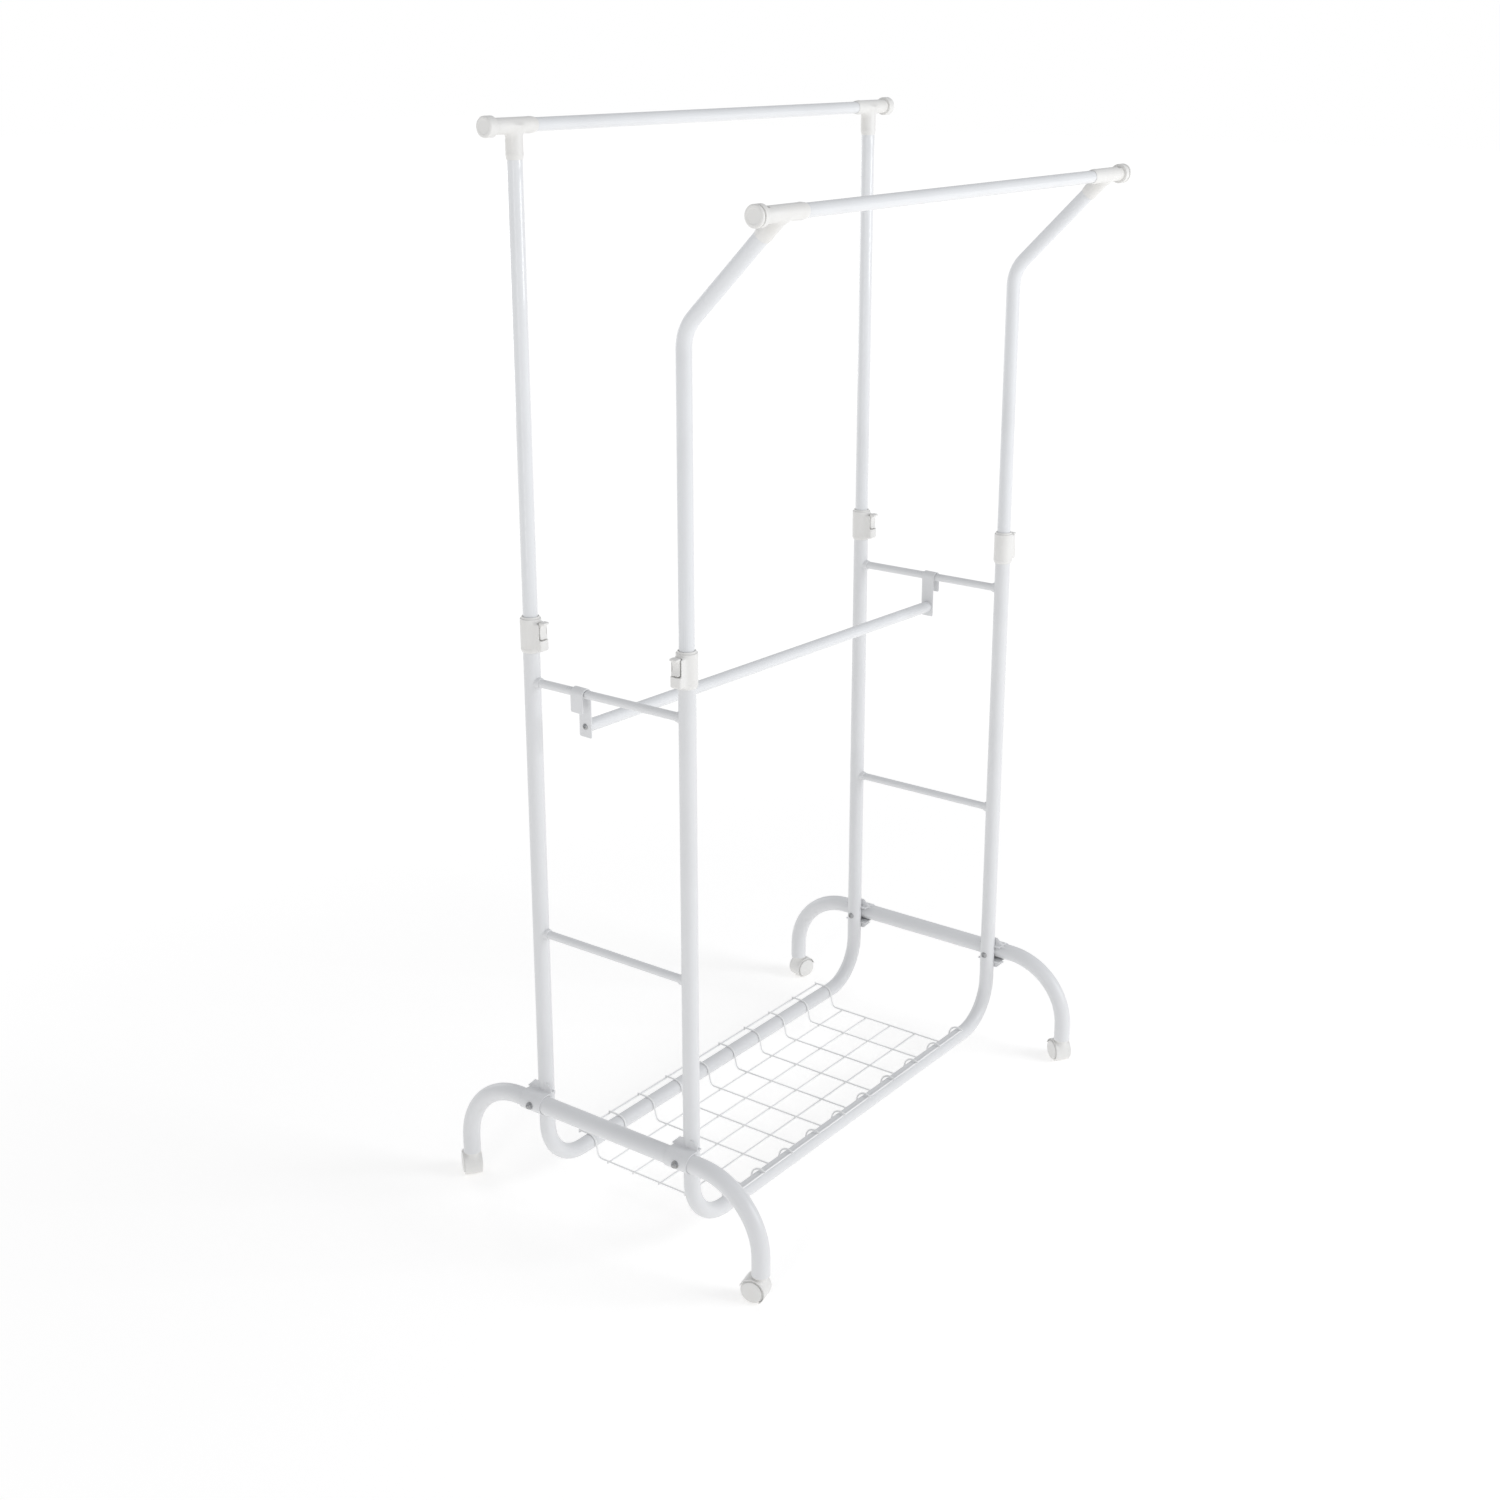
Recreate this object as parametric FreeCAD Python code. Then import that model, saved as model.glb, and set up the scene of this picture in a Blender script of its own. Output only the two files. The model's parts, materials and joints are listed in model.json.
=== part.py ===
import FreeCAD, Part
import math
import os

# Rolling clothes rack: two height-adjustable hanging frames on a wheeled base.
# Units are millimetres. +Z is up, +X runs along the rails, -Y is the front.
# The origin lies on the floor, under the middle of the footprint.

# Overall layout
POST_SPACING_X = 863.0
POST_SPACING_Y = 289.0
POSTS_CENTRE_Y = -3.2
BOTTOM_TUBE_Z = 53.0
LEG_Z = 180.0
LOWER_RUNG_Z = 460.0
UPPER_RUNG_Z = 861.0
LOWER_POST_TOP_Z = 955.0
REAR_RAIL_Z = 1646.0
FRONT_RAIL_Z = 1553.0
FRONT_RAIL_REACH = 156.5
RAIL_LENGTH = 980.0

# Tube sizes
LOWER_TUBE_D = 25.0
LOWER_TUBE_WALL = 1.2
UPPER_POST_D = 22.0
UPPER_POST_WALL = 1.0
LEG_TUBE_D = 28.0
LEG_TUBE_WALL = 1.3
RUNG_D = 12.7
RUNG_WALL = 1.0
RAIL_D = 19.0
RAIL_WALL = 1.0
BOTTOM_BEND_R = 78.0

# Legs
LEG_OFFSET = 24.0
LEG_FOOT_SPACING = 580.0
LEG_BEND_R = 110.0
LEG_END_Z = 43.0

# Saddle brackets and through bolts
BRACKET_HEIGHT = 58.0
BRACKET_WIDE = 29.0
BRACKET_NARROW = 20.0
WIDE_CHAMFER = 15.0
NARROW_CHAMFER = 7.0
BRACKET_WRAP_WIDE = 23.0
BRACKET_SHEET = 1.8
BRACKET_PLANE = 10.0
FLANGE_START = 1.0
BOLT_D = 6.0
BOLT_HOLE_D = 6.4
BOLT_HEAD_D = 11.0
BOLT_HEAD_H = 3.2
BOLT_CROWN_SHARE = 0.55
HEAD_SEAT_DEPTH = 2.0
NUT_FLANGE_D = 12.0
NUT_FLANGE_H = 1.6
NUT_DOME_D = 9.4
NUT_BARREL_H = 3.4
NUT_CROWN_H = 2.0
NUT_CROWN_SHARE = 0.5

# Rung collars
RUNG_COLLAR_D = 16.0
RUNG_COLLAR_LENGTH = 5.0

# Lock collars and buttons
COLLAR_D = 31.0
COLLAR_BASE_Z = 907.0
COLLAR_TOP_Z = 958.0
COLLAR_SKIRT_H = 4.0
COLLAR_SKIRT_D = 27.6
COLLAR_LIP_D = 26.4
COLLAR_LIP_H = 3.0
COLLAR_BORE_D = 22.8
LOBE_REACH = 27.0
LOBE_WIDTH = 19.0
LOBE_TOP_Z = 954.0
POCKET_FLOOR_Z = 929.0
POCKET_DEPTH_X = 17.6
POCKET_WIDTH = 14.0
BUTTON_WIDTH = 13.2
BUTTON_BACK_X = 20.8
BUTTON_FRONT_X = 28.6
BUTTON_BASE_Z = 929.6
BUTTON_TOP_Z = 955.0
BUTTON_HOLLOW_R = 24.0
BUTTON_LIP_H = 3.4
BUTTON_LIP_REACH = 2.4
BUTTON_HOLLOW_DEPTH = 2.6

# Upper posts
UPPER_POST_BASE_Z = 750.0
ARM_BEND_R = 60.0

# T connectors, end rings and end caps
TEE_SLEEVE_D = 22.2
TEE_SLEEVE_END_D = 20.4
TEE_STEM_D = 24.4
TEE_STEM_END_D = 23.0
TEE_TAPER = 7.0
REAR_TEE_INNER = 40.0
REAR_TEE_STEM = 45.0
FRONT_TEE_INNER = 49.0
FRONT_TEE_STEM = 43.0
REAR_CAP_D = 28.6
REAR_CAP_LENGTH = 15.0
FRONT_CAP_D = 29.0
FRONT_CAP_LENGTH = 5.0
END_RING_D = 29.0
END_RING_LENGTH = 9.0
END_GROOVE = 2.4
END_NECK_D = 22.0
CAP_EDGE = 1.6
POST_TO_RAIL_GAP = 1.5

# Cross bar
BAR_Z = 808.0
BAR_LEFT_Y = 48.0
BAR_RIGHT_Y = -6.0
BAR_D = 19.0
BAR_WALL = 1.0
HOOK_WIDTH = 24.0
HOOK_SHEET = 2.0
HOOK_INNER_R = 7.5
HOOK_REST_GAP = 0.3
HOOK_FLAP_LENGTH = 27.0
HOOK_LEG_OVERHANG = 16.0
PLUG_LENGTH = 14.0
SCREW_D = 4.0
SCREW_HEAD_D = 9.0
SCREW_HEAD_H = 2.6
SCREW_RIM_SHARE = 0.6
PLUG_END_WALL = 2.0

# Wire shelf
WIRE_D = 3.0
WIRE_COUNT = 10
WIRE_PITCH = 74.3
SHELF_Z = 30.0
SHELF_BEND_R = 9.0
SHELF_LONG_PITCH = 53.0
SHELF_LONG_COUNT = 5
LONG_WIRE_OVERHANG = 1.8
WELD_BITE = 0.04
WIRE_LEG_ANGLE = 12.0
REAR_HOOK_ANGLE = 90.0
REAR_HOOK_TAIL = 22.0
FRONT_HOOK_ANGLE = 117.0
FRONT_HOOK_TAIL = 3.0

# Casters
WHEEL_R = 18.5
WHEEL_INNER_Y = 2.1
WHEEL_RIM_Y = 14.4
WHEEL_FACE_Y = 15.7
WHEEL_EDGE = 0.8
CASTER_TRAIL = 9.0
HOOD_R = 20.6
HOOD_INNER_R = 19.1
HOOD_WIDTH = 29.0
HOOD_WEB = 3.0
HOOD_FLOOR_GAP = 2.2
HOOD_MOUTH_X = 7.0
HOOD_MOUTH_Z = 6.0
HOOD_BOSS_D = 17.0
HOOD_BOSS_TOP_Z = 41.2
AXLE_D = 4.0
AXLE_LENGTH = 22.0
AXLE_FIT = 0.05
STEM_D = 8.0
STEM_FIT = 0.05
STEM_BASE_Z = 37.4
STEM_TOP_Z = 63.0
SOCKET_FLANGE_H = 1.4
STEM_END_ROOM = 1.0
SOCKET_TOP_Z = 68.0

# Half spans used by most pieces
HALF_X = POST_SPACING_X / 2
REAR_Y = POSTS_CENTRE_Y + POST_SPACING_Y / 2
FRONT_Y = POSTS_CENTRE_Y - POST_SPACING_Y / 2
LEG_X = HALF_X + LEG_OFFSET
REAR_FOOT_Y = LEG_FOOT_SPACING / 2 + POSTS_CENTRE_Y
FRONT_FOOT_Y = POSTS_CENTRE_Y - LEG_FOOT_SPACING / 2
FRONT_RAIL_Y = FRONT_Y - FRONT_RAIL_REACH
AXIS_X = FreeCAD.Vector(1, 0, 0)
AXIS_Y = FreeCAD.Vector(0, 1, 0)
AXIS_Z = FreeCAD.Vector(0, 0, 1)

# Post name, side of the frame (-1 left, +1 right), Y position
POSTS = [
    ("front_left", -1, FRONT_Y),
    ("rear_left", -1, REAR_Y),
    ("front_right", 1, FRONT_Y),
    ("rear_right", 1, REAR_Y),
]

# Direction the lock button faces, in degrees about +Z
LOCK_FACING = {"front_left": 180.0, "rear_left": -90.0, "front_right": 0.0, "rear_right": -90.0}

# Trailing direction of each caster as it stands, in degrees about +Z
CASTER_FACING = {"front_left": 103.0, "rear_left": 53.0, "front_right": 56.0, "rear_right": -17.0}


def point(x, y, z):
    return FreeCAD.Vector(x, y, z)


def rod(start, direction, length, diameter):
    return Part.makeCylinder(diameter / 2, length, start, direction)


def cone(start, direction, length, start_diameter, end_diameter):
    return Part.makeCone(start_diameter / 2, end_diameter / 2, length, start, direction)


def block(low, high):
    size = high - low
    return Part.makeBox(size.x, size.y, size.z, low)


def straight_tube(start, direction, length, diameter, wall):
    bore = rod(start - direction * length, direction, 3 * length, diameter - 2 * wall)
    return rod(start, direction, length, diameter).cut(bore)


def turned(shape, degrees, centre):
    moved = shape.copy()
    moved.rotate(centre, AXIS_Z, degrees)
    return moved


def moved_to(shape, offset):
    moved = shape.copy()
    moved.translate(offset)
    return moved


def fused(shapes):
    return shapes[0].multiFuse(shapes[1:]).removeSplitter()


def bent_path(corners, radii):
    # Straight runs joined by tangent arcs at the inner corners.
    edges = []
    start = corners[0]
    for before, corner, after, radius in zip(corners, corners[1:], corners[2:], radii):
        to_before = (before - corner).normalize()
        to_after = (after - corner).normalize()
        half_turn = (math.pi - to_before.getAngle(to_after)) / 2
        setback = radius * math.tan(half_turn)
        bend_start = corner + to_before * setback
        bend_end = corner + to_after * setback
        bisector = (to_before + to_after).normalize()
        middle = corner + bisector * (radius / math.cos(half_turn) - radius)
        edges.append(Part.makeLine(start, bend_start))
        edges.append(Part.Arc(bend_start, middle, bend_end).toShape())
        start = bend_end
    edges.append(Part.makeLine(start, corners[-1]))
    return Part.Wire(edges)


def swept_rod(corners, radii, diameter):
    direction = corners[1] - corners[0]
    circle = Part.makeCircle(diameter / 2, corners[0], direction)
    return bent_path(corners, radii).makePipe(Part.Face(Part.Wire(circle)))


def swept_tube(corners, radii, diameter, wall):
    outer = swept_rod(corners, radii, diameter)
    first = corners[0] + (corners[0] - corners[1]).normalize()
    last = corners[-1] + (corners[-1] - corners[-2]).normalize()
    bore = swept_rod([first] + corners[1:-1] + [last], radii, diameter - 2 * wall)
    return outer.cut(bore)


def bolt_holes(y):
    # One hole through both posts and both legs at a crossing.
    half = LEG_X + LEG_TUBE_D
    return rod(point(-half, y, LEG_Z), AXIS_X, 2 * half, BOLT_HOLE_D)


def u_tube(y):
    corners = [
        point(-HALF_X, y, LOWER_POST_TOP_Z),
        point(-HALF_X, y, BOTTOM_TUBE_Z),
        point(HALF_X, y, BOTTOM_TUBE_Z),
        point(HALF_X, y, LOWER_POST_TOP_Z),
    ]
    tube = swept_tube(corners, [BOTTOM_BEND_R] * 2, LOWER_TUBE_D, LOWER_TUBE_WALL)
    return tube.cut(bolt_holes(y))


def leg_corners(side):
    x = side * LEG_X
    return [
        point(x, FRONT_FOOT_Y, LEG_END_Z),
        point(x, FRONT_FOOT_Y, LEG_Z),
        point(x, REAR_FOOT_Y, LEG_Z),
        point(x, REAR_FOOT_Y, LEG_END_Z),
    ]


def leg_tube(side):
    # The inner side is dished where it seats against each post.
    corners = leg_corners(side)
    radii = [LEG_BEND_R] * 2
    outer = swept_rod(corners, radii, LEG_TUBE_D)
    corners[0].z -= 1
    corners[-1].z -= 1
    bore = swept_rod(corners, radii, LEG_TUBE_D - 2 * LEG_TUBE_WALL)
    base_z = LEG_Z - LEG_TUBE_D
    for y in (FRONT_Y, REAR_Y):
        seat = rod(point(side * HALF_X, y, base_z), AXIS_Z, 2 * LEG_TUBE_D, LOWER_TUBE_D)
        dish = rod(
            point(side * HALF_X, y, base_z),
            AXIS_Z,
            2 * LEG_TUBE_D,
            LOWER_TUBE_D + 2 * LEG_TUBE_WALL,
        )
        outer = outer.cut(seat)
        bore = bore.cut(dish)
    leg = outer.cut(bore)
    return leg.cut(bolt_holes(FRONT_Y)).cut(bolt_holes(REAR_Y))


def rung(side, z):
    x = side * HALF_X
    tube = straight_tube(point(x, FRONT_Y, z), AXIS_Y, POST_SPACING_Y, RUNG_D, RUNG_WALL)
    for y in (FRONT_Y, REAR_Y):
        tube = tube.cut(rod(point(x, y, z - RUNG_D), AXIS_Z, 2 * RUNG_D, LOWER_TUBE_D))
    return tube


def rung_collar(side, post_y, z):
    x = side * HALF_X
    inward = math.copysign(1, POSTS_CENTRE_Y - post_y)
    reach = LOWER_TUBE_D / 2 + RUNG_COLLAR_LENGTH
    ring = rod(point(x, post_y, z), AXIS_Y * inward, reach, RUNG_COLLAR_D)
    ring = ring.cut(rod(point(x, post_y, z), AXIS_Y * inward, reach, RUNG_D))
    return ring.cut(rod(point(x, post_y, z - RUNG_D), AXIS_Z, 2 * RUNG_D, LOWER_TUBE_D))


def rung_collars():
    rings = []
    for _, side, y in POSTS:
        for z in (LOWER_RUNG_Z, UPPER_RUNG_Z):
            rings.append(rung_collar(side, y, z))
    return Part.makeCompound(rings)


def wing_plate():
    # Outline in the YZ plane, wider towards -Y, with its corners cut at 45 degrees.
    half = BRACKET_HEIGHT / 2
    wide, narrow = BRACKET_WIDE, BRACKET_NARROW
    outline = [
        (narrow, half - NARROW_CHAMFER),
        (narrow - NARROW_CHAMFER, half),
        (WIDE_CHAMFER - wide, half),
        (-wide, half - WIDE_CHAMFER),
    ]
    outline += [(y, -z) for y, z in reversed(outline)]
    corners = [point(BRACKET_PLANE, y, z) for y, z in outline]
    corners.append(corners[0])
    face = Part.Face(Part.makePolygon(corners))
    return face.extrude(AXIS_X * BRACKET_SHEET)


def saddle_bracket_right():
    # Modelled about a post on the right side; the leg passes at +LEG_OFFSET.
    # A strap goes round the leg's far side. Its two flanges run back on either
    # side of the post, and flat wings stand up and down between post and leg.
    leg_r = LEG_TUBE_D / 2
    wrap_r = leg_r + BRACKET_SHEET
    wrap_length = BRACKET_WRAP_WIDE + BRACKET_NARROW
    reach = 2 * BRACKET_HEIGHT
    wrap = rod(point(LEG_OFFSET, -BRACKET_WRAP_WIDE, 0), AXIS_Y, wrap_length, 2 * wrap_r)
    channel = block(
        point(FLANGE_START, -BRACKET_WRAP_WIDE, -wrap_r),
        point(LEG_OFFSET, BRACKET_NARROW, wrap_r),
    )
    leg_space = rod(point(LEG_OFFSET, -reach, 0), AXIS_Y, 2 * reach, LEG_TUBE_D)
    slot = block(
        point(FLANGE_START, -reach, -leg_r),
        point(LEG_OFFSET, reach, leg_r),
    )
    post_space = rod(point(0, 0, -reach), AXIS_Z, 2 * reach, LOWER_TUBE_D)
    hole = rod(point(0, 0, 0), AXIS_X, LEG_OFFSET + LEG_TUBE_D, BOLT_HOLE_D)
    bracket = fused([wrap, channel, wing_plate()])
    for removed in (leg_space, slot, post_space, hole):
        bracket = bracket.cut(removed)
    return bracket.removeSplitter()


def saddle_bracket(side, y):
    bracket = saddle_bracket_right()
    if side < 0:
        bracket = turned(bracket, 180, point(0, 0, 0))
    return moved_to(bracket, point(side * HALF_X, y, LEG_Z))


def bolt_right():
    # Round head on the inner side, its underside following the post.
    post_r = LOWER_TUBE_D / 2
    tip = LEG_OFFSET + LEG_TUBE_D / 2 + BRACKET_SHEET + NUT_DOME_D / 4
    shank = rod(point(-post_r, 0, 0), AXIS_X, post_r + tip, BOLT_D)
    seat = point(-post_r + HEAD_SEAT_DEPTH, 0, 0)
    head_base = rod(seat, AXIS_X * -1, HEAD_SEAT_DEPTH + BOLT_HEAD_H / 2, BOLT_HEAD_D)
    crown = cone(
        point(-post_r - BOLT_HEAD_H / 2, 0, 0),
        AXIS_X * -1,
        BOLT_HEAD_H / 2,
        BOLT_HEAD_D,
        BOLT_HEAD_D * BOLT_CROWN_SHARE,
    )
    post = rod(point(0, 0, -BOLT_HEAD_D), AXIS_Z, 2 * BOLT_HEAD_D, LOWER_TUBE_D)
    head = fused([head_base, crown]).cut(post)
    return fused([head, shank])


def nut_right():
    seat_x = LEG_OFFSET + LEG_TUBE_D / 2 + BRACKET_SHEET
    wrap_r = LEG_TUBE_D / 2 + BRACKET_SHEET
    base = point(seat_x - HEAD_SEAT_DEPTH, 0, 0)
    flange = rod(base, AXIS_X, HEAD_SEAT_DEPTH + NUT_FLANGE_H, NUT_FLANGE_D)
    barrel = rod(point(seat_x, 0, 0), AXIS_X, NUT_BARREL_H, NUT_DOME_D)
    crown = cone(
        point(seat_x + NUT_BARREL_H, 0, 0),
        AXIS_X,
        NUT_CROWN_H,
        NUT_DOME_D,
        NUT_DOME_D * NUT_CROWN_SHARE,
    )
    wrap = rod(point(LEG_OFFSET, -NUT_FLANGE_D, 0), AXIS_Y, 2 * NUT_FLANGE_D, 2 * wrap_r)
    shank = rod(point(0, 0, 0), AXIS_X, seat_x + NUT_DOME_D / 4, BOLT_D)
    return fused([flange, barrel, crown]).cut(wrap).cut(shank)


def at_each_crossing(right_hand_piece):
    pieces = []
    for _, side, y in POSTS:
        piece = right_hand_piece
        if side < 0:
            piece = turned(piece, 180, point(0, 0, 0))
        pieces.append(moved_to(piece, point(side * HALF_X, y, LEG_Z)))
    return Part.makeCompound(pieces)


def lock_collar(name, side, y):
    sleeve = rod(
        point(0, 0, COLLAR_BASE_Z + COLLAR_SKIRT_H),
        AXIS_Z,
        COLLAR_TOP_Z - COLLAR_BASE_Z - COLLAR_SKIRT_H,
        COLLAR_D,
    )
    skirt = cone(point(0, 0, COLLAR_BASE_Z), AXIS_Z, COLLAR_SKIRT_H, COLLAR_SKIRT_D, COLLAR_D)
    lip = rod(point(0, 0, COLLAR_TOP_Z), AXIS_Z, COLLAR_LIP_H, COLLAR_LIP_D)
    lobe = block(
        point(0, -LOBE_WIDTH / 2, COLLAR_BASE_Z + COLLAR_SKIRT_H),
        point(LOBE_REACH, LOBE_WIDTH / 2, LOBE_TOP_Z),
    )
    pocket = block(
        point(POCKET_DEPTH_X, -POCKET_WIDTH / 2, POCKET_FLOOR_Z),
        point(LOBE_REACH + COLLAR_D, POCKET_WIDTH / 2, LOBE_TOP_Z + COLLAR_D),
    )
    post_space = rod(
        point(0, 0, COLLAR_BASE_Z - COLLAR_D),
        AXIS_Z,
        LOWER_POST_TOP_Z - COLLAR_BASE_Z + COLLAR_D,
        LOWER_TUBE_D,
    )
    bore = rod(point(0, 0, COLLAR_BASE_Z), AXIS_Z, 2 * COLLAR_D, COLLAR_BORE_D)
    collar = fused([sleeve, skirt, lip, lobe])
    for removed in (pocket, post_space, bore):
        collar = collar.cut(removed)
    collar = turned(collar, LOCK_FACING[name], point(0, 0, 0))
    return moved_to(collar, point(side * HALF_X, y, 0))


def lock_button(name, side, y):
    # Thumb button with a hollowed face and a lip along its top.
    body = block(
        point(BUTTON_BACK_X, -BUTTON_WIDTH / 2, BUTTON_BASE_Z),
        point(BUTTON_FRONT_X, BUTTON_WIDTH / 2, BUTTON_TOP_Z),
    )
    middle_z = (BUTTON_BASE_Z + BUTTON_TOP_Z - BUTTON_LIP_H) / 2
    hollow = rod(
        point(BUTTON_FRONT_X + BUTTON_HOLLOW_R - BUTTON_HOLLOW_DEPTH, -BUTTON_WIDTH, middle_z),
        AXIS_Y,
        2 * BUTTON_WIDTH,
        2 * BUTTON_HOLLOW_R,
    )
    lip = block(
        point(BUTTON_BACK_X, -BUTTON_WIDTH / 2, BUTTON_TOP_Z - BUTTON_LIP_H),
        point(BUTTON_FRONT_X + BUTTON_LIP_REACH, BUTTON_WIDTH / 2, BUTTON_TOP_Z),
    )
    button = fused([body.cut(hollow), lip])
    button = turned(button, LOCK_FACING[name], point(0, 0, 0))
    return moved_to(button, point(side * HALF_X, y, 0))


def wire_hook(radius, start_angle, tail):
    # Corner points of one hook over a bottom tube, from its outer end to the
    # shelf's flat. The first coordinate runs inwards from the tube's axis and
    # the second up from it.
    start = math.radians(start_angle)
    leg = math.radians(WIRE_LEG_ANGLE)
    middle = (start + leg) / 2
    corner = radius / math.cos((start - leg) / 2)
    end = (
        radius * math.cos(start) - tail * math.sin(start),
        radius * math.sin(start) + tail * math.cos(start),
    )
    crest = (corner * math.cos(middle), corner * math.sin(middle))
    drop = SHELF_Z - BOTTOM_TUBE_Z
    fall = (radius * math.sin(leg) - drop) / math.cos(leg)
    foot = (radius * math.cos(leg) + fall * math.sin(leg), drop)
    return [end, crest, foot]


def rear_hook_radius():
    return (LOWER_TUBE_D + WIRE_D) / 2 + WELD_BITE


def front_hook_radius():
    return rear_hook_radius() + WIRE_D - WELD_BITE


def cross_wire(x):
    rear = wire_hook(rear_hook_radius(), REAR_HOOK_ANGLE, REAR_HOOK_TAIL)
    front = wire_hook(front_hook_radius(), FRONT_HOOK_ANGLE, FRONT_HOOK_TAIL)
    corners = [point(x, REAR_Y - u, BOTTOM_TUBE_Z + v) for u, v in rear]
    corners += [point(x, FRONT_Y + u, BOTTOM_TUBE_Z + v) for u, v in reversed(front)]
    radii = [rear_hook_radius(), SHELF_BEND_R, SHELF_BEND_R, front_hook_radius()]
    return swept_rod(corners, radii, WIRE_D)


def wire_positions():
    first = -WIRE_PITCH * (WIRE_COUNT - 1) / 2
    return [first + WIRE_PITCH * index for index in range(WIRE_COUNT)]


def shelf_cross_wires():
    return Part.makeCompound([cross_wire(x) for x in wire_positions()])


def shelf_long_wires():
    # Five wires under the flat, one under the rear hook ends and one resting
    # on the front tube under the front hook ends.
    first = wire_positions()[0] - LONG_WIRE_OVERHANG
    length = -2 * first
    step = WIRE_D - WELD_BITE
    places = []
    for index in range(SHELF_LONG_COUNT):
        y = POSTS_CENTRE_Y + SHELF_LONG_PITCH * (index - (SHELF_LONG_COUNT - 1) / 2)
        places.append((y, SHELF_Z - step))
    rear_v = rear_hook_radius() - step
    places.append((REAR_Y + REAR_HOOK_TAIL - WIRE_D / 2, BOTTOM_TUBE_Z + rear_v))
    seat_r = rear_hook_radius()
    seat = math.radians(FRONT_HOOK_ANGLE)
    front_y = FRONT_Y + seat_r * math.cos(seat)
    places.append((front_y, BOTTOM_TUBE_Z + seat_r * math.sin(seat)))
    return Part.makeCompound([rod(point(first, y, z), AXIS_X, length, WIRE_D) for y, z in places])


def caster_socket(x, y):
    flange = rod(point(x, y, LEG_END_Z - SOCKET_FLANGE_H), AXIS_Z, SOCKET_FLANGE_H, LEG_TUBE_D)
    plug = rod(
        point(x, y, LEG_END_Z - SOCKET_FLANGE_H),
        AXIS_Z,
        SOCKET_TOP_Z - LEG_END_Z + SOCKET_FLANGE_H,
        2 * (LEG_TUBE_D / 2 - LEG_TUBE_WALL),
    )
    bore_length = STEM_TOP_Z + STEM_END_ROOM - LEG_END_Z + 2 * SOCKET_FLANGE_H
    bore = rod(
        point(x, y, LEG_END_Z - 2 * SOCKET_FLANGE_H),
        AXIS_Z,
        bore_length,
        STEM_D + 2 * STEM_FIT,
    )
    return fused([flange, plug]).cut(bore)


def caster_places():
    places = []
    for name, side, _ in POSTS:
        y = FRONT_FOOT_Y if name.startswith("front") else REAR_FOOT_Y
        places.append((name, side * LEG_X, y))
    return places


def caster_sockets():
    return Part.makeCompound([caster_socket(x, y) for _, x, y in caster_places()])


def hood():
    # Trails along +X from the stem's axis; the axle runs along Y.
    centre = point(CASTER_TRAIL, 0, WHEEL_R)
    half = HOOD_WIDTH / 2
    drum = rod(centre - AXIS_Y * half, AXIS_Y, HOOD_WIDTH, 2 * HOOD_R)
    boss = rod(point(0, 0, WHEEL_R), AXIS_Z, HOOD_BOSS_TOP_Z - WHEEL_R, HOOD_BOSS_D)
    shell = fused([drum, boss])
    for direction in (-1, 1):
        start = centre + AXIS_Y * (direction * HOOD_WEB / 2)
        room = rod(start, AXIS_Y * direction, HOOD_WIDTH, 2 * HOOD_INNER_R)
        shell = shell.cut(room)
    below = block(
        point(-HOOD_R - HOOD_R, -HOOD_R, -HOOD_R),
        point(CASTER_TRAIL + 2 * HOOD_R, HOOD_R, HOOD_FLOOR_GAP),
    )
    mouth = block(
        point(CASTER_TRAIL + HOOD_MOUTH_X, -HOOD_R, -HOOD_R),
        point(CASTER_TRAIL + 2 * HOOD_R, HOOD_R, WHEEL_R + HOOD_MOUTH_Z),
    )
    axle_bore = rod(
        centre - AXIS_Y * HOOD_WEB,
        AXIS_Y,
        2 * HOOD_WEB,
        AXLE_D + 2 * AXLE_FIT,
    )
    stem_bore = rod(point(0, 0, STEM_BASE_Z), AXIS_Z, STEM_TOP_Z, STEM_D)
    for removed in (below, mouth, axle_bore, stem_bore):
        shell = shell.cut(removed)
    return shell.removeSplitter()


def wheel(direction):
    # Half section turned about the axle: flat inner side, softly domed face.
    inner = direction * WHEEL_INNER_Y
    rim = direction * WHEEL_RIM_Y
    face = direction * WHEEL_FACE_Y
    shoulder = direction * (WHEEL_RIM_Y + WHEEL_EDGE / 2)
    bore_end = direction * AXLE_LENGTH / 2
    bore_r = AXLE_D / 2
    face_r = WHEEL_R - WHEEL_EDGE
    rise = WHEEL_FACE_Y - WHEEL_RIM_Y - WHEEL_EDGE / 2
    dome_r = (face_r**2 + rise**2) / (2 * rise)
    half_angle = math.asin(face_r / dome_r) / 2
    crown = dome_r * (1 - math.cos(half_angle))
    dome = Part.Arc(
        point(face_r, shoulder, 0),
        point(dome_r * math.sin(half_angle), face - direction * crown, 0),
        point(0, face, 0),
    ).toShape()
    outline = [
        point(0, face, 0),
        point(0, bore_end, 0),
        point(bore_r, bore_end, 0),
        point(bore_r, inner, 0),
        point(WHEEL_R, inner, 0),
        point(WHEEL_R, rim, 0),
        point(face_r, shoulder, 0),
    ]
    edges = [Part.makeLine(a, b) for a, b in zip(outline, outline[1:])]
    profile = Part.Face(Part.Wire(edges + [dome]))
    solid = profile.revolve(point(0, 0, 0), AXIS_Y, 360)
    return moved_to(solid, point(CASTER_TRAIL, 0, WHEEL_R))


def wheel_pair():
    return Part.makeCompound([wheel(-1), wheel(1)])


def axle():
    start = point(CASTER_TRAIL, -AXLE_LENGTH / 2, WHEEL_R)
    return rod(start, AXIS_Y, AXLE_LENGTH, AXLE_D)


def stem():
    return rod(point(0, 0, STEM_BASE_Z), AXIS_Z, STEM_TOP_Z - STEM_BASE_Z, STEM_D)


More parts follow.
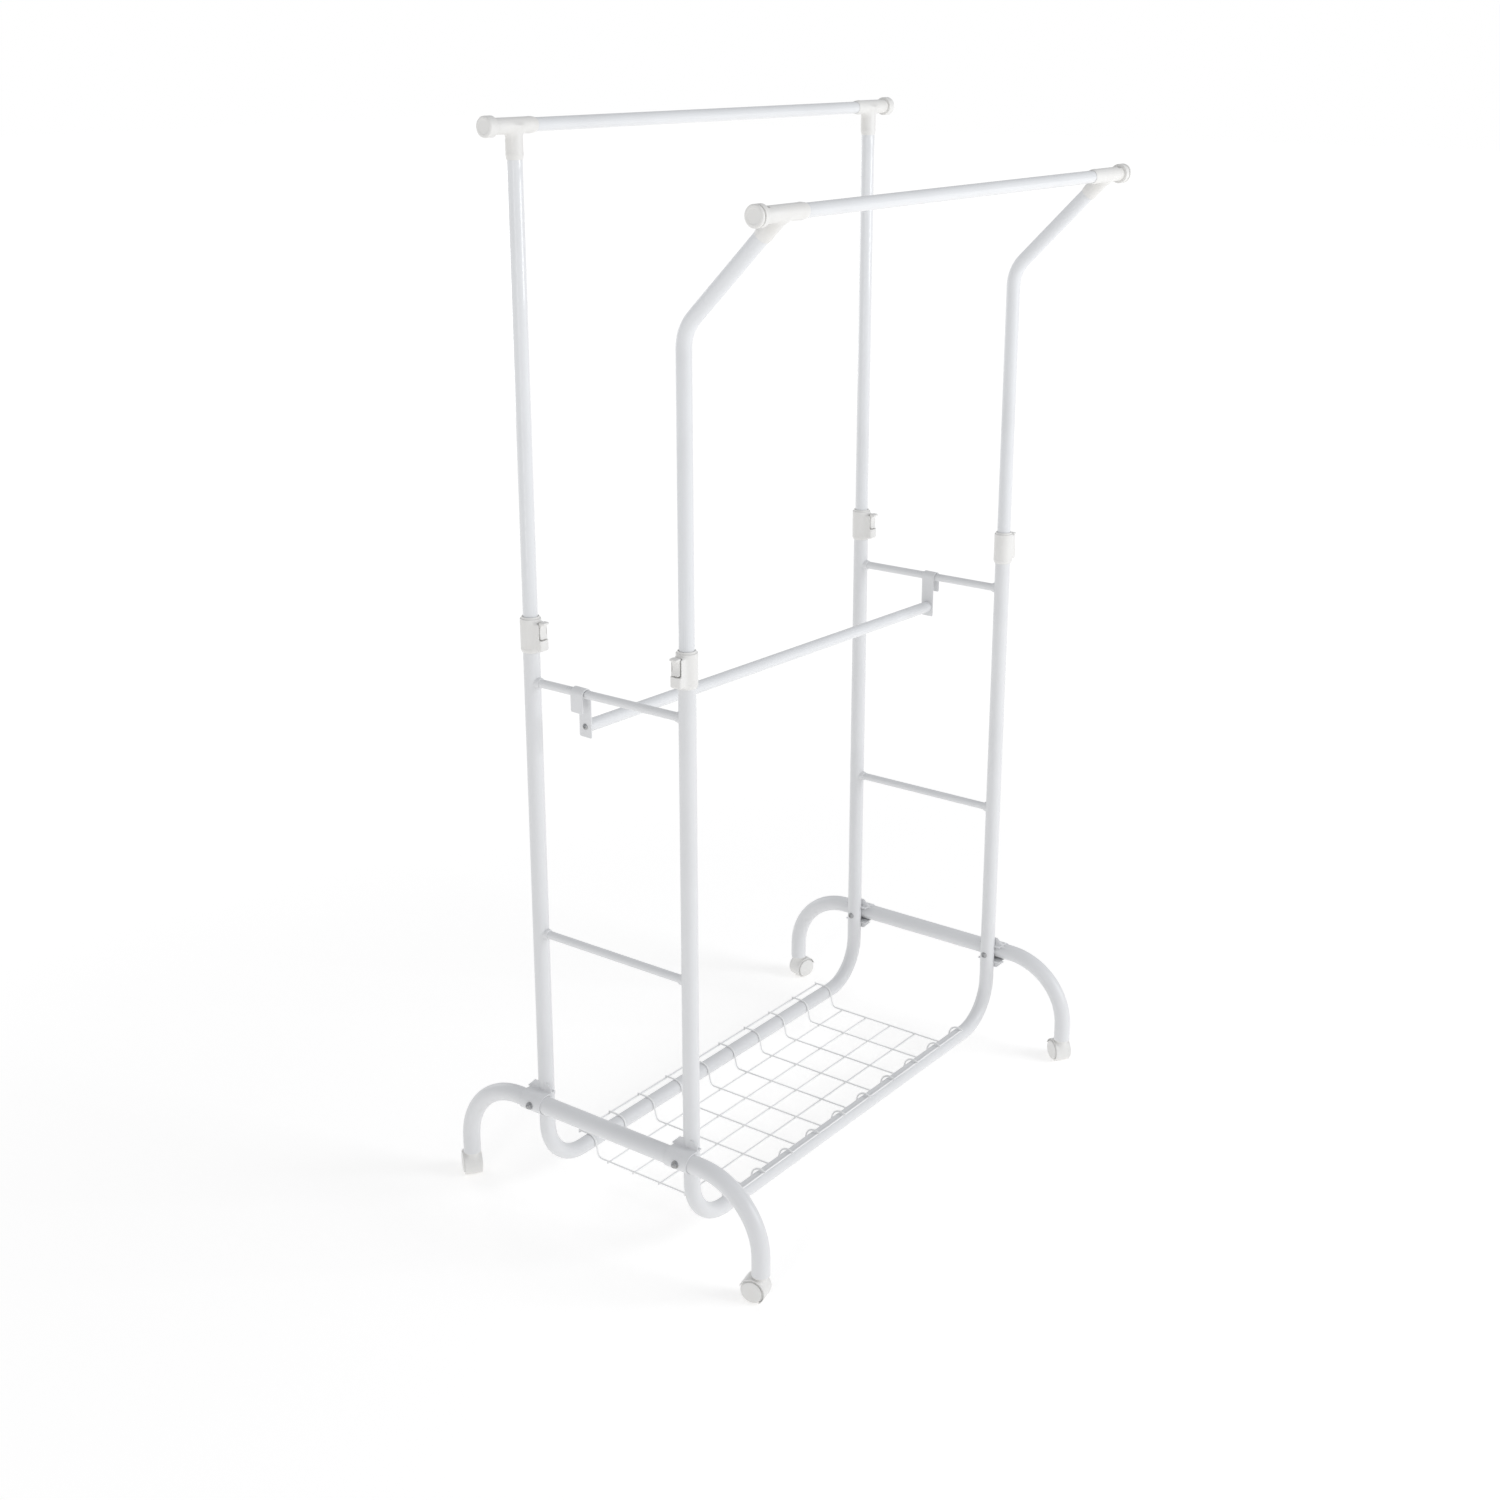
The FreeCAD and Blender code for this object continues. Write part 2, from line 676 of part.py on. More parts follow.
def caster_piece(piece, name, x, y):
    placed = turned(piece, CASTER_FACING[name], point(0, 0, 0))
    return moved_to(placed, point(x, y, 0))


def rear_post(side):
    top = REAR_RAIL_Z - RAIL_D / 2 - POST_TO_RAIL_GAP
    return straight_tube(
        point(side * HALF_X, REAR_Y, UPPER_POST_BASE_Z),
        AXIS_Z,
        top - UPPER_POST_BASE_Z,
        UPPER_POST_D,
        UPPER_POST_WALL,
    )


def front_post(side):
    # Straight post, then a 45 degree arm forwards and up to the front rail.
    x = side * HALF_X
    rail = point(x, FRONT_RAIL_Y, FRONT_RAIL_Z)
    elbow = point(x, FRONT_Y, FRONT_RAIL_Z - FRONT_RAIL_REACH)
    towards_elbow = (elbow - rail).normalize()
    arm_end = rail + towards_elbow * (RAIL_D / 2 + POST_TO_RAIL_GAP)
    base = point(x, FRONT_Y, UPPER_POST_BASE_Z)
    return swept_tube([base, elbow, arm_end], [ARM_BEND_R], UPPER_POST_D, UPPER_POST_WALL)


def rail(y, z):
    # Ends short of the caps' outer skin.
    length = RAIL_LENGTH - 2 * CAP_EDGE
    return straight_tube(point(-length / 2, y, z), AXIS_X, length, RAIL_D, RAIL_WALL)


def tapered_sleeve(start, direction, length, diameter, end_diameter):
    body = rod(start, direction, length - TEE_TAPER, diameter)
    taper = cone(
        start + direction * (length - TEE_TAPER),
        direction,
        TEE_TAPER,
        diameter,
        end_diameter,
    )
    return fused([body, taper])


def tee(side, centre, stem_direction, inner, outer, stem_length):
    # Sleeve along the rail and a stem down to the post.
    inwards = AXIS_X * -side
    outwards = AXIS_X * side
    inner_sleeve = tapered_sleeve(centre, inwards, inner, TEE_SLEEVE_D, TEE_SLEEVE_END_D)
    outer_sleeve = rod(centre, outwards, outer, TEE_SLEEVE_D)
    branch = tapered_sleeve(centre, stem_direction, stem_length, TEE_STEM_D, TEE_STEM_END_D)
    beyond = centre + stem_direction * (RAIL_D / 2 + POST_TO_RAIL_GAP)
    post_space = rod(beyond, stem_direction, stem_length, UPPER_POST_D)
    rail_space = rod(centre - AXIS_X * RAIL_LENGTH, AXIS_X, 2 * RAIL_LENGTH, RAIL_D)
    connector = fused([inner_sleeve, outer_sleeve, branch])
    return connector.cut(post_space).cut(rail_space)


def rear_tee(side):
    outer = RAIL_LENGTH / 2 - REAR_CAP_LENGTH - HALF_X
    centre = point(side * HALF_X, REAR_Y, REAR_RAIL_Z)
    return tee(side, centre, AXIS_Z * -1, REAR_TEE_INNER, outer, REAR_TEE_STEM)


def front_tee(side):
    ends = FRONT_CAP_LENGTH + END_RING_LENGTH + 2 * END_GROOVE
    outer = RAIL_LENGTH / 2 - ends - HALF_X
    centre = point(side * HALF_X, FRONT_RAIL_Y, FRONT_RAIL_Z)
    down_arm = point(0, 1, -1).normalize()
    return tee(side, centre, down_arm, FRONT_TEE_INNER, outer, FRONT_TEE_STEM)


def end_cap(side, y, z, diameter, length):
    # Cup over the rail's end with a softened outer edge.
    outwards = AXIS_X * side
    base = point(side * (RAIL_LENGTH / 2 - length), y, z)
    wall = rod(base, outwards, length - CAP_EDGE, diameter)
    edge = cone(
        base + outwards * (length - CAP_EDGE),
        outwards,
        CAP_EDGE,
        diameter,
        diameter - 2 * CAP_EDGE,
    )
    rail_space = rod(base, outwards, length - CAP_EDGE, RAIL_D)
    return fused([wall, edge]).cut(rail_space)


def end_caps(y, z, diameter, length):
    return Part.makeCompound([end_cap(side, y, z, diameter, length) for side in (-1, 1)])


def end_ring(side):
    # A raised ring with a slim neck on each side of it.
    outwards = AXIS_X * side
    neck_length = END_RING_LENGTH + 2 * END_GROOVE
    start_x = RAIL_LENGTH / 2 - FRONT_CAP_LENGTH - neck_length
    start = point(side * start_x, FRONT_RAIL_Y, FRONT_RAIL_Z)
    neck = rod(start, outwards, neck_length, END_NECK_D)
    ring = rod(start + outwards * END_GROOVE, outwards, END_RING_LENGTH, END_RING_D)
    rail_space = rod(start - outwards, outwards, neck_length + 2, RAIL_D)
    return fused([neck, ring]).cut(rail_space)


def end_rings():
    return Part.makeCompound([end_ring(side) for side in (-1, 1)])


def bar_frame(shape):
    # From the bar's own axes to its resting place across the two upper rungs.
    angle = math.degrees(math.atan2(BAR_RIGHT_Y - BAR_LEFT_Y, POST_SPACING_X))
    placed = turned(shape, angle, point(0, 0, 0))
    return moved_to(placed, point(0, (BAR_LEFT_Y + BAR_RIGHT_Y) / 2, 0))


def half_bar():
    # Distance from the bar's middle to the rung, along the bar.
    return math.hypot(POST_SPACING_X, BAR_RIGHT_Y - BAR_LEFT_Y) / 2


def bar_end():
    return half_bar() - HOOK_INNER_R - HOOK_SHEET


def cross_bar():
    end = bar_end()
    return bar_frame(straight_tube(point(-end, 0, BAR_Z), AXIS_X, 2 * end, BAR_D, BAR_WALL))


def bar_plug(side):
    outer = BAR_D - 2 * BAR_WALL
    start = point(side * bar_end(), 0, BAR_Z)
    plug = rod(start, AXIS_X * -side, PLUG_LENGTH, outer)
    pilot = rod(start, AXIS_X * -side, PLUG_LENGTH - PLUG_END_WALL, SCREW_D)
    return plug.cut(pilot)


def bar_plugs():
    return Part.makeCompound([bar_frame(bar_plug(side)) for side in (-1, 1)])


def strap_hook(side):
    # Short flap outside, half ring over the rung, long leg down to the bar.
    half_width = HOOK_WIDTH / 2
    outer_r = HOOK_INNER_R + HOOK_SHEET
    crown_z = UPPER_RUNG_Z + RUNG_D / 2 + HOOK_REST_GAP - HOOK_INNER_R
    ring = rod(point(0, -half_width, crown_z), AXIS_Y, HOOK_WIDTH, 2 * outer_r)
    flap = block(
        point(-outer_r, -half_width, crown_z - HOOK_FLAP_LENGTH),
        point(0, half_width, crown_z),
    )
    leg = block(
        point(0, -half_width, BAR_Z - HOOK_LEG_OVERHANG),
        point(outer_r, half_width, crown_z),
    )
    slot_round = rod(point(0, -HOOK_WIDTH, crown_z), AXIS_Y, 2 * HOOK_WIDTH, 2 * HOOK_INNER_R)
    slot = block(
        point(-HOOK_INNER_R, -HOOK_WIDTH, BAR_Z - 2 * HOOK_LEG_OVERHANG),
        point(HOOK_INNER_R, HOOK_WIDTH, crown_z),
    )
    hole = rod(point(0, 0, BAR_Z), AXIS_X, 2 * outer_r, SCREW_D)
    hook = fused([ring, flap, leg])
    for removed in (slot_round, slot, hole):
        hook = hook.cut(removed)
    if side > 0:
        hook = turned(hook, 180, point(0, 0, 0))
    return bar_frame(moved_to(hook, point(side * half_bar(), 0, 0)))


def hook_screw(side):
    seat = point(side * (half_bar() - HOOK_INNER_R), 0, BAR_Z)
    outwards = AXIS_X * side
    rim_h = SCREW_HEAD_H * SCREW_RIM_SHARE
    head = rod(seat, outwards, rim_h, SCREW_HEAD_D)
    crown = cone(
        seat + outwards * rim_h,
        outwards,
        SCREW_HEAD_H - rim_h,
        SCREW_HEAD_D,
        SCREW_HEAD_D * SCREW_RIM_SHARE,
    )
    shank_length = HOOK_SHEET + PLUG_LENGTH - 1.5 * PLUG_END_WALL
    shank = rod(seat, outwards * -1, shank_length, SCREW_D)
    return bar_frame(fused([head, crown, shank]))


def hook_screws():
    return Part.makeCompound([hook_screw(side) for side in (-1, 1)])


def save(name, shape):
    shape.exportStep(os.path.join("parts", name + ".step"))


def save_base():
    save("rear_u_tube", u_tube(REAR_Y))
    save("front_u_tube", u_tube(FRONT_Y))
    for label, side in (("left", -1), ("right", 1)):
        save(label + "_leg_tube", leg_tube(side))
        save(label + "_lower_rung", rung(side, LOWER_RUNG_Z))
        save(label + "_upper_rung", rung(side, UPPER_RUNG_Z))
    save("rung_collars", rung_collars())
    for name, side, y in POSTS:
        save(name + "_bracket", saddle_bracket(side, y))
        save(name + "_lock_collar", lock_collar(name, side, y))
        save(name + "_lock_button", lock_button(name, side, y))
    save("frame_bolts", at_each_crossing(bolt_right()))
    save("frame_dome_nuts", at_each_crossing(nut_right()))
    save("shelf_cross_wires", shelf_cross_wires())
    save("shelf_long_wires", shelf_long_wires())
    save("caster_sockets", caster_sockets())


def save_upper_frames():
    for label, side in (("left", -1), ("right", 1)):
        save("rear_" + label + "_upper_post", rear_post(side))
        save("front_" + label + "_upper_post", front_post(side))
        save("rear_" + label + "_tee", rear_tee(side))
        save("front_" + label + "_tee", front_tee(side))
    save("rear_rail", rail(REAR_Y, REAR_RAIL_Z))
    save("front_rail", rail(FRONT_RAIL_Y, FRONT_RAIL_Z))
    save("rear_end_caps", end_caps(REAR_Y, REAR_RAIL_Z, REAR_CAP_D, REAR_CAP_LENGTH))
    save("front_end_caps", end_caps(FRONT_RAIL_Y, FRONT_RAIL_Z, FRONT_CAP_D, FRONT_CAP_LENGTH))
    save("front_end_rings", end_rings())


def save_cross_bar():
    save("cross_bar_tube", cross_bar())
    save("cross_bar_plugs", bar_plugs())
    save("left_hook", strap_hook(-1))
    save("right_hook", strap_hook(1))
    save("hook_screws", hook_screws())


def save_casters():
    for name, x, y in caster_places():
        save(name + "_caster_hood", caster_piece(hood(), name, x, y))
        save(name + "_caster_stem", caster_piece(stem(), name, x, y))
        save(name + "_caster_wheels", caster_piece(wheel_pair(), name, x, y))
        save(name + "_caster_axle", caster_piece(axle(), name, x, y))


os.makedirs("parts", exist_ok=True)
save_base()
save_upper_frames()
save_cross_bar()
save_casters()
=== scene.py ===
import json
import math

import bpy
import numpy as np
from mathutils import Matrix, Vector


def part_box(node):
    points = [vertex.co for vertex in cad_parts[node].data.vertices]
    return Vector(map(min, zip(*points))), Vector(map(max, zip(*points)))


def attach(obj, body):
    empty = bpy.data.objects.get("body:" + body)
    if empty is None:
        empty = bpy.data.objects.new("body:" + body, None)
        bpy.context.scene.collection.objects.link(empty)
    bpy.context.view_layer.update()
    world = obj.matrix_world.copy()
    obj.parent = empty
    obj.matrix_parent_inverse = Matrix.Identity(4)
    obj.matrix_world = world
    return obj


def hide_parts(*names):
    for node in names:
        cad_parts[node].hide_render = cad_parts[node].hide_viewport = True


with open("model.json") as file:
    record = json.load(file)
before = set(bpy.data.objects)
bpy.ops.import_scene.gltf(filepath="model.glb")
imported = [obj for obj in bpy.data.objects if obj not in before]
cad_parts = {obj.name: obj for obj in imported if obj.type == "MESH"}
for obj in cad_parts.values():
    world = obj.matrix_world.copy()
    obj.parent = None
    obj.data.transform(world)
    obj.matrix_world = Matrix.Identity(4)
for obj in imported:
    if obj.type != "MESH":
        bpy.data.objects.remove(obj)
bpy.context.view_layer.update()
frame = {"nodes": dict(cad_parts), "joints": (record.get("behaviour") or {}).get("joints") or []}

import openvdb
from mathutils import Matrix, Vector

# Shapes are written in millimetres. MM turns them into the frame's metres.
MM = 0.001

# ---- Places and sizes taken from the frame ----


def node_box(node):
    low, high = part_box(node)
    return low / MM, high / MM


def node_centre(node):
    low, high = node_box(node)
    return (low + high) / 2


def node_size(node):
    low, high = node_box(node)
    return high - low


RECORD_JOINTS = {joint["name"]: joint for joint in frame["joints"]}

HALF_X = node_centre("rear_right_upper_post").x
REAR_Y = node_centre("rear_right_upper_post").y
FRONT_Y = node_centre("front_u_tube").y
LEG_X = node_centre("right_leg_tube").x
LEG_R = node_size("right_leg_tube").x / 2
LEG_Z = node_box("right_leg_tube")[1].z - LEG_R
LEG_END_Z = node_box("right_leg_tube")[0].z
POST_R = node_size("front_u_tube").y / 2
BOTTOM_TUBE_Z = node_box("front_u_tube")[0].z + POST_R
UPPER_POST_R = node_size("rear_right_upper_post").x / 2
RUNG_R = node_size("right_upper_rung").x / 2
UPPER_RUNG_Z = node_centre("right_upper_rung").z
LOWER_RUNG_Z = node_centre("right_lower_rung").z
RAIL_R = node_size("rear_rail").y / 2
REAR_RAIL_Z = node_centre("rear_rail").z
FRONT_RAIL_Y = node_centre("front_rail").y
FRONT_RAIL_Z = node_centre("front_rail").z
RAIL_END_X = node_box("rear_end_caps")[1].x
COLLAR_BASE_Z = node_box("rear_right_lock_collar")[0].z
BUTTON_BASE_Z = node_box("rear_right_lock_button")[0].z
BUTTON_TOP_Z = node_box("rear_right_lock_button")[1].z
WHEEL_R = node_size("front_left_caster_wheels").z / 2
SHELF_X = node_box("shelf_cross_wires")[1].x
WIRE_R = 1.5

SIDES = {"left": -1, "right": 1}
CORNERS = {
    "front_left": (-1, FRONT_Y),
    "rear_left": (-1, REAR_Y),
    "front_right": (1, FRONT_Y),
    "rear_right": (1, REAR_Y),
}

# ---- Placing ----


def move(x, y, z):
    return Matrix.Translation((x, y, z))


def turn_z(angle):
    return Matrix.Rotation(angle, 4, "Z")


def aim(origin, direction):
    """Takes the local Z axis to a direction, with the local origin at a point."""
    turned = Vector(direction).to_track_quat("Z", "Y").to_matrix().to_4x4()
    return Matrix.Translation(origin) @ turned


def mesh_from(name, points, faces):
    """A closed mesh in metres from points in millimetres."""
    mesh = bpy.data.meshes.new(name)
    mesh.from_pydata(np.asarray(points, float) * MM, [], [tuple(face) for face in faces])
    mesh.validate()
    return mesh


def joined(name, shapes):
    """One mesh from several (points, faces) shapes."""
    points, faces = [], []
    for shape_points, shape_faces in shapes:
        shift = len(points)
        points.extend(tuple(p) for p in shape_points)
        faces.extend(tuple(i + shift for i in face) for face in shape_faces)
    return mesh_from(name, points, faces)


def placed(shape, matrix):
    """A (points, faces) shape moved by a matrix."""
    points, faces = shape
    turned = np.array(matrix)
    return np.asarray(points, float) @ turned[:3, :3].T + turned[:3, 3], faces


def outward(mesh):
    """Turns every face outwards, judged by the enclosed volume."""
    mesh.calc_loop_triangles()
    count = len(mesh.loop_triangles)
    corners = np.empty(count * 3, np.int32)
    mesh.loop_triangles.foreach_get("vertices", corners)
    points = np.empty(len(mesh.vertices) * 3, np.float32)
    mesh.vertices.foreach_get("co", points)
    tri = points.reshape(-1, 3)[corners.reshape(-1, 3)].astype(float)
    volume = np.einsum("ij,ij->i", tri[:, 0], np.cross(tri[:, 1], tri[:, 2])).sum()
    if volume < 0:
        mesh.flip_normals()
    return mesh


def smooth(mesh, crease):
    """Smooth shading, kept sharp where faces meet at more than crease degrees."""
    mesh.shade_smooth()
    mesh.set_sharp_from_angle(angle=math.radians(crease))
    return mesh


def in_scene(name, data):
    """A new object in the scene, holding a mesh, a light or a camera."""
    made = bpy.data.objects.new(name, data)
    bpy.context.scene.collection.objects.link(made)
    return made


def set_inputs(node, settings):
    """Gives a shader node's inputs their values, by socket name."""
    for socket, value in settings.items():
        node.inputs[socket].default_value = value


def add_piece(name, mesh, body, node, material, matrix=None):
    """Puts a mesh in the scene, riding on a body and standing for a CAD node."""
    piece = in_scene(name, mesh)
    if matrix is not None:
        piece.matrix_world = Matrix.Scale(MM, 4) @ matrix @ Matrix.Scale(1 / MM, 4)
    if not mesh.materials:
        mesh.materials.append(material)
    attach(piece, body)
    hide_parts(node)


# ---- Turned and swept shapes ----


def rounded(corners, steps, closed=False):
    """Outline points with an arc at each (a, b, radius) corner."""
    count = len(corners)
    points = []
    for index, (a, b, radius) in enumerate(corners):
        here = np.array((a, b), float)
        inner = closed or 0 < index < count - 1
        if radius == 0 or not inner:
            points.append(here)
            continue
        before = np.array(corners[index - 1][:2], float) - here
        after = np.array(corners[(index + 1) % count][:2], float) - here
        before /= np.linalg.norm(before)
        after /= np.linalg.norm(after)
        half = math.acos(np.clip(before @ after, -1, 1)) / 2
        reach = radius / math.tan(half)
        middle = before + after
        middle = here + middle / np.linalg.norm(middle) * radius / math.sin(half)
        first = here + before * reach - middle
        last = here + after * reach - middle
        sweep_angle = math.atan2(
            first[0] * last[1] - first[1] * last[0], first[0] * last[0] + first[1] * last[1]
        )
        for step in range(steps + 1):
            angle = sweep_angle * step / steps
            cos, sin = math.cos(angle), math.sin(angle)
            turned = (first[0] * cos - first[1] * sin, first[0] * sin + first[1] * cos)
            points.append(middle + np.array(turned))
    return points


def lathe(corners, segments, closed=False, steps=5):
    """Turns an outline of (height, radius, rounding) corners about the local Z axis."""
    outline = rounded(corners, steps, closed)
    points, faces, rings = [], [], []
    for height, radius in outline:
        first = len(points)
        if radius < 1e-4:
            points.append((0, 0, height))
            rings.append([first] * segments)
            continue
        for index in range(segments):
            angle = 2 * math.pi * index / segments
            points.append((radius * math.cos(angle), radius * math.sin(angle), height))
        rings.append(list(range(first, first + segments)))
    pairs = list(zip(rings, rings[1:]))
    if closed:
        pairs.append((rings[-1], rings[0]))
    for low, high in pairs:
        for index in range(segments):
            after = (index + 1) % segments
            face = [low[index], low[after], high[after], high[index]]
            face = [i for n, i in enumerate(face) if i != face[n - 1]]
            if len(face) > 2:
                faces.append(face)
    return points, faces


def sweep(path, section, across, scales):
    """Sweeps a closed 2-D section along a flat path. across is the path plane's normal."""
    path = [np.array(p, float) for p in path]
    across = np.array(across, float)
    points, faces, rings = [], [], []
    for index, (place, scale) in enumerate(zip(path, scales)):
        before = path[max(index - 1, 0)]
        after = path[min(index + 1, len(path) - 1)]
        along = (after - before) / np.linalg.norm(after - before)
        side = np.cross(across, along)
        ring = []
        for a, b in section:
            ring.append(len(points))
            points.append(place + (side * a + across * b) * scale)
        rings.append(ring)
    size = len(section)
    for low, high in zip(rings, rings[1:]):
        for index in range(size):
            after = (index + 1) % size
            faces.append((low[index], low[after], high[after], high[index]))
    faces.append(tuple(reversed(rings[0])))
    faces.append(tuple(rings[-1]))
    return points, faces


def circle(radius, segments):
    step = 2 * math.pi / segments
    return [(radius * math.cos(step * i), radius * math.sin(step * i)) for i in range(segments)]


def wire(path, radius, across):
    """A round wire along a flat path, with softened cut ends."""
    segments, tip_steps = 12, 3
    path = [np.array(p, float) for p in path]
    start = (path[0] - path[1]) / np.linalg.norm(path[0] - path[1])
    end = (path[-1] - path[-2]) / np.linalg.norm(path[-1] - path[-2])
    tip = radius * 0.45
    head, tail, narrow = [], [], []
    for step in range(tip_steps, 0, -1):
        angle = math.pi / 2 * step / (tip_steps + 1)
        head.append(path[0] - start * tip * (1 - math.sin(angle)))
        tail.insert(0, path[-1] - end * tip * (1 - math.sin(angle)))
        narrow.append(1 - 0.4 * (1 - math.cos(angle)))
    inner = [path[0] - start * tip] + path[1:-1] + [path[-1] - end * tip]
    scales = narrow + [1.0] * len(inner) + narrow[::-1]
    return sweep(head + inner + tail, circle(radius, segments), across, scales)


# ---- Moulded and pressed shapes, from distance fields ----


def round_edge(a, b, edge):
    """Distance to where both a and b are negative, with a rounded edge between them."""
    a, b = a + edge, b + edge
    outside = np.hypot(np.maximum(a, 0), np.maximum(b, 0))
    return outside + np.minimum(np.maximum(a, b), 0) - edge


def along_and_across(p, origin, direction):
    direction = np.array(direction, float)
    direction /= np.linalg.norm(direction)
    x, y, z = (axis - start for axis, start in zip(p, origin))
    along = x * direction[0] + y * direction[1] + z * direction[2]
    across = np.sqrt(np.maximum(x * x + y * y + z * z - along * along, 0))
    return along, across


def rod(p, origin, direction, length, radius, edge):
    along, across = along_and_across(p, origin, direction)
    return round_edge(across - radius, abs(along - length / 2) - length / 2, edge)


def turned_rod(p, origin, direction, stations, edge):
    """A rod whose radius follows (distance, radius) stations."""
    along, across = along_and_across(p, origin, direction)
    places, radii = zip(*stations)
    radius = np.interp(along, places, radii)
    middle = (places[0] + places[-1]) / 2
    half = (places[-1] - places[0]) / 2
    return round_edge(across - radius, abs(along - middle) - half, edge)


def block(p, low, high, edge):
    q = [abs(axis - (a + b) / 2) - (b - a) / 2 + edge for axis, a, b in zip(p, low, high)]
    outside = np.sqrt(sum(np.maximum(axis, 0) ** 2 for axis in q))
    inside = np.minimum(np.maximum(np.maximum(q[0], q[1]), q[2]), 0)
    return outside + inside - edge


def join(a, b, fillet):
    """Both fields, with a fillet where they meet."""
    near = np.maximum(fillet - abs(a - b), 0) / fillet
    return np.minimum(a, b) - near * near * fillet / 4


def cut(a, b, fillet):
    """The first field less the second, with a softened edge."""
    return -join(-a, b, fillet)


def skin(name, low, high, cell, field, keep):
    """The surface where a distance field is zero, thinned to a share of its faces."""
    margin = 3 * cell
    axes = [np.arange(a - margin, b + margin, cell) for a, b in zip(low, high)]
    grid = np.meshgrid(*axes, indexing="ij", sparse=True)
    shape = tuple(len(axis) for axis in axes)
    values = np.broadcast_to(field(grid), shape).astype(np.float32)
    volume = openvdb.FloatGrid(float(values.max()))
    volume.copyFromArray(np.ascontiguousarray(values))
    points, quads = volume.convertToQuads(0.0)
    origin = np.array([axis[0] for axis in axes])
    mesh = outward(mesh_from(name, points * cell + origin, quads))
    holder = in_scene(name, mesh)
    thin = holder.modifiers.new("thin", "DECIMATE")
    thin.ratio = keep
    bpy.context.view_layer.update()
    evaluated = holder.evaluated_get(bpy.context.evaluated_depsgraph_get())
    thinned = bpy.data.meshes.new_from_object(evaluated)
    bpy.data.objects.remove(holder)
    bpy.data.meshes.remove(mesh)
    thinned.name = name
    return smooth(thinned, 50)


# ---- Materials ----


class Surface:
    """A Principled material with small helpers for its node network."""

    def __init__(
        self, name, colour, roughness, metallic=0.0, coat=0.0, coat_roughness=0.18, specular=0.5
    ):
        self.material = bpy.data.materials.new(name)
        self.material.use_nodes = True
        self.tree = self.material.node_tree
        self.shader = self.tree.nodes["Principled BSDF"]
        self.colour = self.rgb(colour)
        self.roughness = self.value(roughness)
        set_inputs(self.shader, {"Metallic": metallic, "Specular IOR Level": specular})
        set_inputs(self.shader, {"Coat Weight": coat, "Coat Roughness": coat_roughness})
        self.bump = None
        self.coordinates = self.tree.nodes.new("ShaderNodeTexCoord").outputs["Object"]

    def node(self, kind, **settings):
        made = self.tree.nodes.new(kind)
        for key, value in settings.items():
            setattr(made, key, value)
        return made

    def link(self, source, target):
        self.tree.links.new(source, target)

    def rgb(self, colour):
        made = self.node("ShaderNodeRGB")
        made.outputs[0].default_value = (*colour, 1)
        return made.outputs[0]

    def value(self, number):
        made = self.node("ShaderNodeValue")
        made.outputs[0].default_value = number
        return made.outputs[0]

    def noise(self, scale, detail, stretch=(1, 1, 1), roughness=0.5):
        mapping = self.node("ShaderNodeMapping")
        set_inputs(mapping, {"Scale": stretch})
        self.link(self.coordinates, mapping.inputs["Vector"])
        texture = self.node("ShaderNodeTexNoise")
        set_inputs(texture, {"Scale": scale, "Detail": detail, "Roughness": roughness})
        self.link(mapping.outputs["Vector"], texture.inputs["Vector"])
        return texture.outputs["Fac"]

    def ramp(self, source, low, high, start=0.0, end=1.0):
        """Maps low..high of the source to start..end, smoothly."""
        made = self.node("ShaderNodeMapRange", interpolation_type="SMOOTHSTEP")
        set_inputs(made, {"From Min": low, "From Max": high, "To Min": start, "To Max": end})
        self.link(source, made.inputs["Value"])
        return made.outputs["Result"]

    def math(self, operation, a, b):
        made = self.node("ShaderNodeMath", operation=operation)
        for socket, item in zip(made.inputs, (a, b)):
            if isinstance(item, (int, float)):
                socket.default_value = item
            else:
                self.link(item, socket)
        return made.outputs[0]

    def tint(self, mask, colour):
        """Mixes a colour in where the mask is high."""
        made = self.node("ShaderNodeMix", data_type="RGBA")
        self.link(mask, made.inputs["Factor"])
        self.link(self.colour, made.inputs["A"])
        made.inputs["B"].default_value = (*colour, 1)
        self.colour = made.outputs["Result"]

    def roughen(self, mask, amount):
        self.roughness = self.math("ADD", self.roughness, self.math("MULTIPLY", mask, amount))

    def raise_by(self, height, distance_mm, strength):
        """Adds a bump of the given depth on top of the ones before it."""
        made = self.node("ShaderNodeBump")
        set_inputs(made, {"Distance": distance_mm * MM, "Strength": strength})
        self.link(height, made.inputs["Height"])
        if self.bump is not None:
            self.link(self.bump, made.inputs["Normal"])
        self.bump = made.outputs["Normal"]

    def cloud(self, scale, detail, low, high, amount, colour):
        """Mixes an amount of a colour in where noise is high."""
        self.tint(self.ramp(self.noise(scale, detail), low, high, 0.0, amount), colour)

    def axis(self, name):
        split = self.node("ShaderNodeSeparateXYZ")
        self.link(self.coordinates, split.inputs[0])
        return split.outputs[name]

    def band(self, source, centre, half_width, fade):
        """1 within half_width of the centre, fading to 0 over fade, all in metres."""
        distance = self.math("ABSOLUTE", self.math("SUBTRACT", source, centre), 0)
        return self.ramp(distance, half_width, half_width + fade, 1.0, 0.0)

    def finish(self):
        self.link(self.colour, self.shader.inputs["Base Color"])
        self.link(self.roughness, self.shader.inputs["Roughness"])
        if self.bump is not None:
            self.link(self.bump, self.shader.inputs["Normal"])
        return self.material


